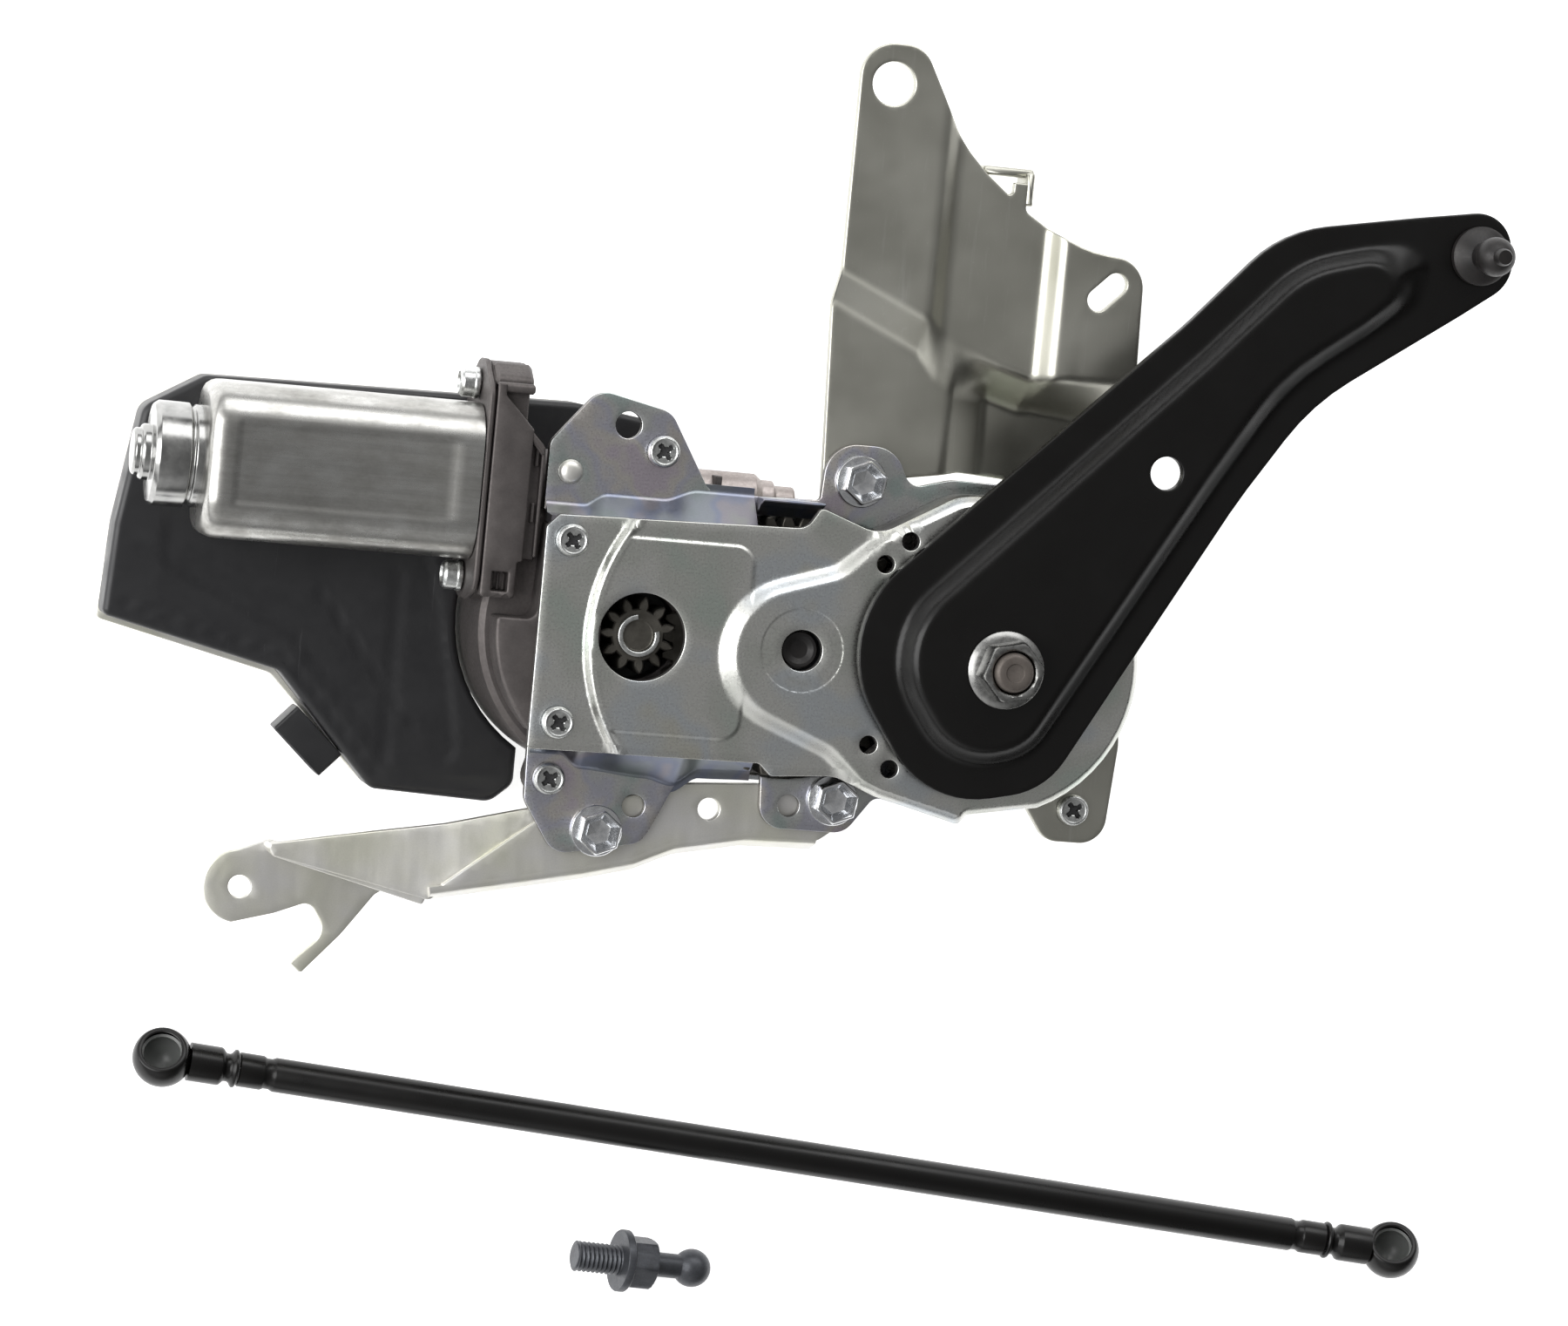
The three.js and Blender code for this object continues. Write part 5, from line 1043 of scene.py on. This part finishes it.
def end_bell(materials):
    flange = [(8, 16, 4), (58, 16, 5), (65, 29, 5), (65, 38, 6), (58, 50, 4), (8, 50, 5), (4.6, 38, 4), (4.6, 28, 4)]
    under = [(8, 16, 4), (58, 16, 5), (64.6, 29, 5), (64.6, 38, 6), (60, 46.4, 1), (8, 46.4, 2), (4.8, 38, 4),
             (4.8, 28, 4)]
    shells = [slab_x(flange, -132.7, -131.3), slab_x(under, -131.4, -122.2)]
    lid = rounded([(-130.9, 6.4, 1), (-122.2, 6.4, 1), (-122.2, 15.6, 0.8), (-120.9, 15.6, 0.8), (-120.9, 48.6, 0.5),
                   (-128.6, 56.6, 0.5), (-128.6, 59.6, 0.5), (-130.9, 59.6, 0.5)])
    window = rounded([(-128.2, 8.0, 0.3), (-124.2, 8.0, 0.3), (-124.2, 12.8, 0.3), (-128.2, 12.8, 0.3)])
    shells.append(flat_plate(lid, [window], 46, 50, 3.0, 0.5))
    lobe = [(58.6, 40, 1), (64.4, 36, 2), (64.4, 41, 3), (61, 46.6, 2.4), (58.6, 46.6, 1)]
    shells.append(slab_x(lobe, -130.9, -121.4, 0.8))
    shells.append(slab_x([(57.2, 44, 0.5), (59.8, 44, 0.5), (59.8, 49.6, 1.2), (57.2, 49.6, 1.2)], -130.9, -121.4, 0.5))
    slant = rounded([(-129.4, 57.2, 0.3), (-117.6, 44.4, 0.5), (-117.6, 42.6, 0.5), (-118.4, 42.6, 0.3), (-130.4, 56, 0.3)])
    shells.append(prism(slant, 42.9, 49.6, 0.4))
    neck = rounded([(-122.6, 16, 0.5), (-117.4, 16, 0.5), (-117.4, 45, 0.5), (-122.6, 50, 0.5)])
    shells.append(prism(neck, 42.9, 46.2, 0.4))
    for x0, x1, y0, y1, z in ((-118.2, -117.4, 17, 44.4, 48.8), (-119.6, -118.6, 39.5, 44.4, 47.6),
                              (-119.6, -118.6, 25.5, 30.4, 47.6)):
        shells.append(prism(rounded([(x0, y0, 0.3), (x1, y0, 0.3), (x1, y1, 0.3), (x0, y1, 0.3)]), 45.8, z, 0.25))
    for x in (-127.6, -126.2, -124.8):
        shells.append(prism(rounded([(x - 0.3, 8.2, 0.2), (x + 0.3, 8.2, 0.2), (x + 0.3, 12.6, 0.2), (x - 0.3, 12.6, 0.2)]),
                            46, 47, 0.15))
    piece("motor_bell_casting", shells, materials["casting"], "drive_unit", ["motor_end_bell"], 32)


# ---------------------------------------------------------------- control module

MODULE_OUTLINE = [
    (-219.8, -8, 2), (-174.2, -18.6, 4), (-148.2, -46.8, 4), (-117, -48, 5), (-111.4, -43, 4),
    *arc_corners(*CLUTCH, 39.7, -121.8, -250.1, 5), (-84, 36, 1), (-84, 52.6, 2), (-104, 55.4, 6), (-199, 54, 4),
    (-214, 45, 5), (-218.6, 15, 3),
]


def module(materials):
    outline = rounded(MODULE_OUTLINE)
    panel = rounded([(-206, 6, 3), (-172, -10, 3), (-146, -38, 3), (-126, -39, 4), (-134, 0, 4), (-140, 20, 4), (-206, 40, 4)])
    lines = [((-215, -4.5), (-174, -14.2)), ((-174, -14.2), (-147.5, -42.8)), ((-147.5, -42.8), (-118, -44)),
             ((-165, 2), (-139, -30)), ((-146.4, 9), (-146.4, -40)), ((-144.8, 9), (-144.8, -40))]

    def top(p, edge):
        brow = 1.5 * (1 - np.sqrt(np.maximum(1 - (1 - np.minimum(edge / 1.6, 1)) ** 2, 0)))
        groove = np.zeros(len(p))
        for a, b in lines:
            a, b = np.array(a, float), np.array(b, float)
            t = np.clip(((p - a) @ (b - a)) / ((b - a) @ (b - a)), 0, 1)
            gap = np.linalg.norm(p - a - t[:, None] * (b - a), axis=1)
            groove = np.maximum(groove, 0.35 * np.exp(-(gap / 0.5) ** 2))
        rim = 0.3 * smooth(signed(p, panel) / 0.8 + 0.5)
        return 15.5 - brow - groove - rim

    def bottom(p, edge):
        return np.where(edge > 2.2, 13.5, 3.3)

    cover = sandwich(outline, [], top, bottom, 1.6, (0.1, 0.3, 0.7, 1.2, 1.6, 2.1, 2.3), 0.02)
    piece("module_cover_moulding", [cover], materials["black_plastic"], "drive_unit",
          ["module_cover"], 32)
    lip = [(x - 0.4, y - 1.8, r) if y < -5 and x < -170 else (x, y, r) for x, y, r in MODULE_OUTLINE]
    piece("module_base_plate", [flat_plate(rounded(lip), [], 0, 3, 6.0)], materials["pale_zinc"], "drive_unit",
          ["module_base"], 32)
    connector(materials)


def connector(materials):
    """The plug socket: a box with thin walls and a latch rail."""
    def ring(x, half_y, half_z, radius):
        section = rounded([(-half_y, -half_z, radius), (half_y, -half_z, radius), (half_y, half_z, radius),
                           (-half_y, half_z, radius)], 15)
        return np.column_stack((np.full(len(section), x), section))

    walls = rings_mesh([ring(0, 8.3, 4.6, 0.8), ring(0.2, 8.5, 4.8, 0.8), ring(7.8, 8.5, 4.8, 0.8), ring(8, 8.3, 4.6, 0.8),
                        ring(8, 7.2, 3.6, 0.6), ring(7.8, 7, 3.4, 0.6), ring(1.5, 7, 3.4, 0.6)])
    rail = rings_mesh([np.array([(x, y, z) for y, z in ((-2, -3.3), (2, -3.3), (2, -2.4), (-2, -2.4))]) for x in (1.5, 6)])
    turn = np.array(Matrix.Rotation(math.radians(-132.7), 3, "Z"))
    place = [(v @ turn.T + (-162, -33.2, 8.6), f) for v, f in (walls, rail)]
    piece("module_socket", place, materials["black_plastic"], "drive_unit", ["module_connector"], 32)


# ---------------------------------------------------------------- brackets

BENDS = [(-50, 97, 88.6), (-23.4, 85.4, 76.4), (-18.2, 82, 69.6), (-14.1, 80, 67), (-2.7, 74.8, 66.6), (6.2, 72.4, 64),
         (9.6, 72.8, 64.6), (46, 74, 60)]
UPPER_OUTLINE = [
    (-46.8, 153, 8.6), (-31, 153, 7.6), (-17, 127, 60), (-3.6, 117.6, 1), (-3.4, 121.6, 0.5), (0.3, 121.6, 0.8),
    (0.2, 114.6, 2), (14, 106.2, 30), (31.4, 104.6, 8), (33, 60, 60), (37, 10, 60), (42.4, -19, 14), (40.6, -45.6, 7),
    (25, -45.6, 6), (14, -30, 6), *arc_corners(0, 0, 24.8, -57, 59, 4), (12, 30, 6), (8, 46, 6), (-9, 47, 3),
    (-27, 44, 2), (-28, 36, 3), (-44.6, 36, 3), (-46.8, 88, 3),
]


def upper_bracket(materials):
    bends = np.array(BENDS, float)
    upper = [(-23.4, 50.3), (-18.2, 46.3), (6.6, 46.3), (9.8, 51.3)]
    lower = [(-14.1, BRACKET_TOP), (-2.7, 33.9)]

    def level(table, x):
        xs, zs = zip(*table)
        return np.mean([np.interp(x + dx, xs, zs) for dx in (-1.2, -0.7, -0.25, 0.25, 0.7, 1.2)], axis=0)

    def top(p, edge):
        x, y = p[:, 0], p[:, 1]
        start, stop = np.interp(x, bends[:, 0], bends[:, 1]), np.interp(x, bends[:, 0], bends[:, 2])
        t = np.mean([np.clip((y + dy - stop) / (start - stop), 0, 1) for dy in (-1.2, -0.7, -0.25, 0.25, 0.7, 1.2)], axis=0)
        tilt = 0.06 * np.maximum((x - 14) * 0.8 + (88 - y) * 0.5, 0) * smooth((x - 11) / 6)
        return level(lower, x) * (1 - t) + (level(upper, x) - tilt) * t

    slot_ends = np.array([(24.4, 98.4), (20.1, 94.1)])
    along = slot_ends[0] - slot_ends[1]
    start = math.degrees(math.atan2(along[1], along[0]))
    slot = np.vstack([circle_arc(slot_ends[0], 2.9, start - 90, start + 90), circle_arc(slot_ends[1], 2.9, start + 90, start + 270)])
    holes = [circle(-38.1, 142.9, 5.5, 56), slot, circle(*HEX_BOLTS["upper"], 3.3, 24), circle(*FOOT_SCREW, 2.3, 20)]
    sheet = sandwich(rounded(UPPER_OUTLINE)[::-1], holes, top, lambda p, d: top(p, d) - EAR_SHEET, 0.8)
    tab = prism(rounded([(-0.4, 116, 0.3), (1.8, 116, 0.3), (1.8, 125.2, 1), (-0.4, 124, 0.3)]), 36.3, 46.3, 0.5)
    fold = prism(rounded([(-11.5, 123, 0.4), (1.8, 123, 0.4), (1.8, 125.2, 1), (-11.5, 125.2, 0.6)]), 36.3, 45.1, 0.5)
    piece("upper_bracket_pressing", [sheet, tab, fold], materials["galvanised_sheet"], "drive_unit",
          ["upper_bracket"], 60)


def circle_arc(centre, radius, from_deg, to_deg, steps=14):
    angles = np.radians(np.linspace(from_deg, to_deg, steps + 1))
    return np.column_stack((centre[0] + radius * np.cos(angles), centre[1] + radius * np.sin(angles)))


LOWER_MAIN = [
    (-135, -69.2, 1), (-96.5, -61.2, 20), (-84, -58, 8), (-74, -53.4, 8), (-56, -49.8, 10), (-37.4, -49.4, 5),
    (-27, -41.4, 2), (-28, -37.2, 2), (-54, -35.6, 3), (-74, -37, 12), (-108, -47.6, 6),
]
LOWER_ROLL = [(-135, -69.4, 0), (-96.5, -61.4, 20), (-84, -58.2, 8), (-74, -53.6, 8), (-56, -50, 10), (-37.4, -49.6, 0)]


def lower_bracket(materials):
    holes = [circle(-66, -43, 2.8, 28)] + [circle(*HEX_BOLTS[k], 3.3, 24) for k in ("lower_left", "lower_right")]
    shells = [flat_plate(rounded(LOWER_MAIN), holes, BRACKET_TOP - EAR_SHEET, BRACKET_TOP, 2.0)]
    line = densified(rounded(LOWER_ROLL), 1.5)
    line = line[:np.argmin(np.linalg.norm(line - (-37.4, -49.6), axis=1)) + 1]
    rows = []
    for point, along in zip(line, np.gradient(line, axis=0)):
        out = np.array((along[1], -along[0])) / np.linalg.norm(along)
        section = [(-1.6, 0.02), *fillet((0.2, 0.02), (-2.4, 0.02), (2.4, -7), 1.7, 7), (2.4, -7)]
        rows.append([(*(point + out * u), BRACKET_TOP + z) for u, z in section])
    shells.append(strip(np.array(rows)[:, ::-1], EAR_SHEET))

    def slope(p):
        return np.interp(p[:, 0], (-176, -150, -133, -120, -109.5), (36, 36.9, 38.5, 40.3, 41.9))

    web = rounded([(-176, -60.4, 1), (-174.4, -63.4, 1), (-134.4, -71.6, 2), (-109, -49, 2), (-110.4, -45.9, 2), (-132, -52, 14)])
    shells.append(sandwich(web, [], lambda p, d: slope(p), lambda p, d: slope(p) - EAR_SHEET, 1.6))
    wall = rounded([(-176, -60.6, 0.8), (-174.2, -63.6, 0.8), (-136, -72.9, 0.8), (-135, -70.8, 0.8)])
    shells.append(sandwich(wall, [], lambda p, d: slope(p) - 0.4, lambda p, d: np.full(len(p), 22.0), 2.0))
    eye = rounded([
        *arc_corners(-180.4, -73, 9.3, 97, 262, 3), (-171, -79.2, 4), (-162.2, -75.6, 3), (-157.4, -83, 5),
        (-166, -91.4, 0.6), (-163, -94, 0.8), (-153.6, -83.4, 14), (-146, -72.8, 2), (-142, -70, 1), (-160, -63.4, 3),
        (-174, -60.6, 3),
    ])
    shells.append(flat_plate(eye, [circle(-180.4, -73, 2.8, 32)], 21.7, 24, 2.0))
    piece("lower_bracket_pressing", shells, materials["pale_zinc"], "drive_unit", ["lower_bracket"], 32)


# ---------------------------------------------------------------- fasteners

def pan_screw(name, at, seat, depth, materials):
    """A cross-recessed pan head whose rim stands a little proud of its face."""
    arms = [(math.cos(math.radians(a)), math.sin(math.radians(a))) for a in (40, 130)]

    def top(p, edge):
        off = p - at
        r = np.linalg.norm(off, axis=1)
        height = np.interp(r, (0, 2.95, 3.2, 3.45, 3.85, 4.1), (2.6, 2.75, 2.95, 2.95, 2.5, 1.6))
        recess = np.zeros(len(p))
        for cx, cy in arms:
            along, across = np.abs(off @ (cx, cy)), np.abs(off @ (-cy, cx))
            arm = smooth((0.62 - across) / 0.22) * smooth((2.35 - along) / 0.4)
            recess = np.maximum(recess, arm)
        hub = smooth((1.25 - r) / 0.35)
        return seat + height - 1.7 * np.maximum(recess, hub)

    head = sandwich(circle(*at, 4.1, 48), [], top, lambda p, d: np.full(len(p), seat + 0.3), 0.24, (0.1, 0.25), 0.05)
    shank = shifted(lathe([(0, seat - depth), (2.1, seat - depth), (2.1, seat + 0.4), (0, seat + 0.4)], 24), *at)
    piece(name + "_pan", [head, shank], materials["fastener_zinc"], "drive_unit", [name], 42)
    # Near-black bars in the cross recess: painted shade inside the recess.
    bar = rounded([(-2.2, -0.6, 0.2), (2.2, -0.6, 0.2), (2.2, 0.6, 0.2), (-2.2, 0.6, 0.2)])
    recess_shade_bars = [prism(bar @ rotation(-a) + at, seat + 0.5, seat + 1.5 + 0.01 * k, 0.1)
             for k, a in enumerate((40, 130))]
    piece(name + "_recess_shade", recess_shade_bars, materials["magnet"], "drive_unit", [name])


def hex_rings(levels, turn_deg, sides=96):
    """Rings (across flats, largest radius, height): each is a hexagon with its corners turned off."""
    angle = np.arange(sides) * 2 * math.pi / sides
    turned = angle + math.radians(turn_deg)
    rings = []
    for across_flats, limit, z in levels:
        r = np.minimum(across_flats / 2 / np.cos(angle % (math.pi / 3) - math.pi / 6), limit)
        rings.append(np.column_stack((r * np.cos(turned), r * np.sin(turned), np.full(sides, float(z)))))
    return rings_mesh(rings)


def hex_bolt(name, at, materials):
    seat = EAR_TOP + 0.3
    flange = [(0, 34.4), (2.9, 34.4), (2.9, seat), (6.4, seat), (6.5, seat + 0.2), (6.5, seat + 0.8),
              (6.3, seat + 1), (0, seat + 1.05)]
    head = hex_rings([(10, 5.75, seat + 1), (10, 5.75, seat + 5.9), (9.8, 5.5, seat + 6.3), (9.4, 5.3, seat + 6.5),
                      (8.6, 9, seat + 6.5), (8.2, 9, seat + 6.2), (6.8, 9, seat + 4.4), (5.6, 9, seat + 3.4),
                      (3.4, 9, seat + 3.1), (0.3, 9, seat + 3)], 22)
    piece(name + "_forged", [shifted(lathe(flange, 48), *at), shifted(head, *at)], materials["bright_steel"],
          "drive_unit", [name], 28)


def fasteners(materials):
    places = {"cover_screw_upper": (PLATE_SCREWS[0], 55.5, 14), "cover_screw_lower": (PLATE_SCREWS[1], 55.5, 14),
              "ear_screw_upper": (EAR_SCREWS[0], EAR_TOP, 8), "ear_screw_lower": (EAR_SCREWS[1], EAR_TOP, 8),
              "foot_screw": (FOOT_SCREW, 33.9, 7)}
    for name, (at, seat, depth) in places.items():
        pan_screw(name, at, seat, depth, materials)
    for name, at in HEX_BOLTS.items():
        hex_bolt("hex_bolt_" + name, at, materials)
        nut = prism(hexagon(*at, 10, 10), 34.8, BRACKET_TOP - EAR_SHEET - 0.3, 0.4)
        piece("weld_nut_" + name + "_hex", [nut], materials["zinc_plated_sheet"], "drive_unit",
              ["weld_nut_" + name])
    dome = [(0, 38.6), (2.1, 38.6), (2.1, 45.3), (3.1, 45.3), (3.1, 45.5), (2.85, 46.1), (2.2, 46.6),
            (1.2, 46.95), (0, 47)]
    piece("ear_rivet_dome", [shifted(lathe(dome, 40), *RIVET)], materials["pale_zinc"], "drive_unit",
          ["ear_rivet"], 50)


# ---------------------------------------------------------------- output arm

ARM_OUTLINE = [
    (-45, 5.6, 28), (-15.5, -36.6, 25), (15, -30, 20), (58, 47, 110), (75, 73, 60), (112, 99, 12), (125.6, 109, 10),
    (121.5, 126.6, 9), (98, 122.6, 60), (63, 116, 34), (40, 90.2, 60),
]
HUMP_FOOT = [
    (-34.5, 4, 24), (-11.5, -28.4, 20), (11, -23, 17), (53, 49.4, 110), (70, 76.4, 60), (101, 100, 8), (104, 112, 6),
    (96, 117, 9), (90, 115.6, 50), (67.5, 109.6, 30), (43.5, 83.5, 60),
]
HUMP_CREST = [
    (-28.4, 3.4, 20), (-9, -23, 16), (6.6, -17, 14), (45.4, 51.6, 110), (62.6, 80.6, 60), (84, 96, 7), (92, 104, 5),
    (87, 109.6, 6), (82, 108.4, 40), (69, 104.6, 26), (46.5, 80.4, 60),
]


def output_arm(materials):
    foot, crest = rounded(HUMP_FOOT), rounded(HUMP_CREST)

    def top(p, edge):
        return 64.7 + 5.3 * between(p, foot, crest)

    holes = [circle(36.9, 52.5, 4.2, 40), circle(0, 0, 6.3, 48), circle(*ARM_TIP, 4.3, 40)]
    shell = sandwich(rounded(ARM_OUTLINE), holes, top, lambda p, d: top(p, d) - 2.7, 1.0)
    piece("output_arm_pressing", [shell], materials["black_coat"], "output_arm", ["output_arm"], 40)
    flange = [(5.3, 70.3), (9.6, 70.3), (9.8, 70.5), (9.8, 71), (9.6, 71.2), (8, 71.9), (5.3, 72.2), (5.3, 70.3)]
    crown = hex_rings([(14.2, 5.4, 71.8), (14.2, 12, 71.8), (14.2, 8, 77.8), (14.0, 7.8, 78.5), (13.6, 7.5, 78.9),
                       (13.0, 7.2, 79), (12, 6.2, 79), (12, 5.6, 78.7), (12, 5.4, 78.2), (14.2, 5.4, 71.8)], 12)
    piece("arm_nut_forged", [lathe(flange, 56), open_ended(crown)], materials["dull_zinc"], "output_arm",
          ["arm_nut"], 28)
    neck = [(0, 61.1), (3.6, 61.1), (4, 61.5), (4, 64.9), (7.3, 65), (7.5, 65.2), (7.5, 67.1), (7.2, 67.4),
            (6.4, 68), (3.6, 69.4), (3.3, 72), *ball_points(5, 77.2, -48, 63, 16), (2.2, 82), (2.2, 83.6),
            (1.8, 84.5), (0, 84.6)]
    piece("arm_ball_stud_turned", [shifted(lathe(neck, 48), *ARM_TIP)], materials["blackened_steel"],
          "output_arm", ["arm_ball_stud"])


def open_ended(shell):
    """The shell without the two caps that rings_mesh put on last."""
    vertices, faces = shell
    return vertices, faces[:-2]


# ---------------------------------------------------------------- loose rod and ball stud

ROD_ENDS = [np.array((-193.8, -119.9, 7.6)), np.array((140.1, -151.3, 7.6))]
CUP_AXIS = (-0.15, 0.55, 0.78)


def connecting_rod(materials):
    span = ROD_ENDS[1] - ROD_ENDS[0]
    length = np.linalg.norm(span)
    along = span / length
    a, b = 19.6, length - 19.6

    def crimp(start, way):
        return [(4.4, start + way * 1.0), (4.4, start + way * 6.2), (4.2, start + way * 6.6), (3.9, start + way * 7.1),
                (3.9, start + way * 8.5), (4.2, start + way * 9.1), (4.4, start + way * 9.6)]

    tube = lathe([(0, a), (4.1, a), (4.4, a + 0.3), *crimp(a, 1), *reversed(crimp(b, -1)), (4.4, b - 0.3), (4.1, b), (0, b)], 40)
    piece("rod_tube_painted", [placed(tube, ROD_ENDS[0], along)], materials["black_coat"], "connecting_rod",
          ["rod_tube"], 40)
    for side, centre, way in (("left", ROD_ENDS[0], along), ("right", ROD_ENDS[1], -along)):
        shell = [*ball_points(7.6, 0, -90, 32.6, 22), (6.25, 4.25), (5.9, 4.4), (5.3, 4.4), (5.02, 4.2),
                 *ball_points(6.5, 0, 39, -90, 20)]
        neck = [(0, 6.9), (4.9, 6.9), (4.9, 14.7), (4.7, 15.2), (3.8, 16), (3.6, 16.4), (3.6, 17.2), (3.9, 17.7),
                (4.8, 18.3), (4.9, 18.6), (4.9, 18.9), (4.6, 19.2), (0, 19.2)]
        piece("rod_socket_" + side + "_moulded", [placed(lathe(shell, 48), centre, CUP_AXIS),
              placed(lathe(neck, 40), centre, way)], materials["black_coat"], "connecting_rod",
              ["rod_socket_" + side], 40)
        liner = [*ball_points(5.9, 0, -90, 25, 14), *ball_points(5.2, 0, 25, -90, 14)]
        piece("socket_liner_" + side + "_moulded", [placed(lathe(liner, 40), centre, CUP_AXIS)],
              materials["grey_plastic"], "connecting_rod", ["socket_liner_" + side], 40)


def thread(radius, pitch, z0, z1, around=36):
    """A right-hand helical thread as a grid, with plain ends."""
    rings = []
    angle = np.arange(around) * 2 * math.pi / around
    for z in np.arange(z0, z1 + 1e-6, pitch / 8):
        phase = (z / pitch - angle / (2 * math.pi)) % 1
        depth = 0.6 * (1 - np.abs(2 * phase - 1)) * min(1, (z - z0) / 0.6, (z1 - z) / 0.6)
        r = radius - depth
        rings.append(np.column_stack((r * np.cos(angle), r * np.sin(angle), np.full(around, z))))
    return rings_mesh(rings)


def loose_stud(materials):
    at = np.array((-69.8, -165.5))
    flat = np.array((-50.3, -167)) - at
    flat /= np.linalg.norm(flat)
    tilt = math.asin(3.1 / 19.6)
    along = (*(flat * math.cos(tilt)), -math.sin(tilt))
    place = (*at, 8.1 * math.cos(tilt) + 0.15)
    flange = [(0, -1.1), (7.9, -1.1), (8.1, -0.8), (8.1, 0.8), (7.8, 1.1), (6.2, 1.4), (3.2, 1.6), (3.2, 15.8),
              *ball_points(5, 19.6, -50, 90, 24)]
    tip = [(0, -13.4), (3.2, -13.4), (3.4, -13.1), (3.4, -12), (0, -12)]
    hexagonal = hex_rings([(12, 6, 0.9), (12, 12, 1.0), (12, 12, 7.4), (12, 6.5, 8.0), (12, 6.1, 8.2),
                           (12, 3, 8.25)], 0)
    shells = [lathe(flange, 56), lathe(tip, 36), thread(4.0, 1.25, -13.0, -1.0), hexagonal]
    piece("loose_ball_stud_turned", [placed(shell, place, along) for shell in shells], materials["dark_steel"],
          "ball_stud", ["loose_ball_stud"], 35)


camera()
studio()
table()
MATERIALS = make_materials()
for build in (front_case, gear_case, rear_case, gears, output_shaft, clutch_housing, motor, module, upper_bracket,
              lower_bracket, fasteners, output_arm, connecting_rod, loose_stud):
    build(MATERIALS)
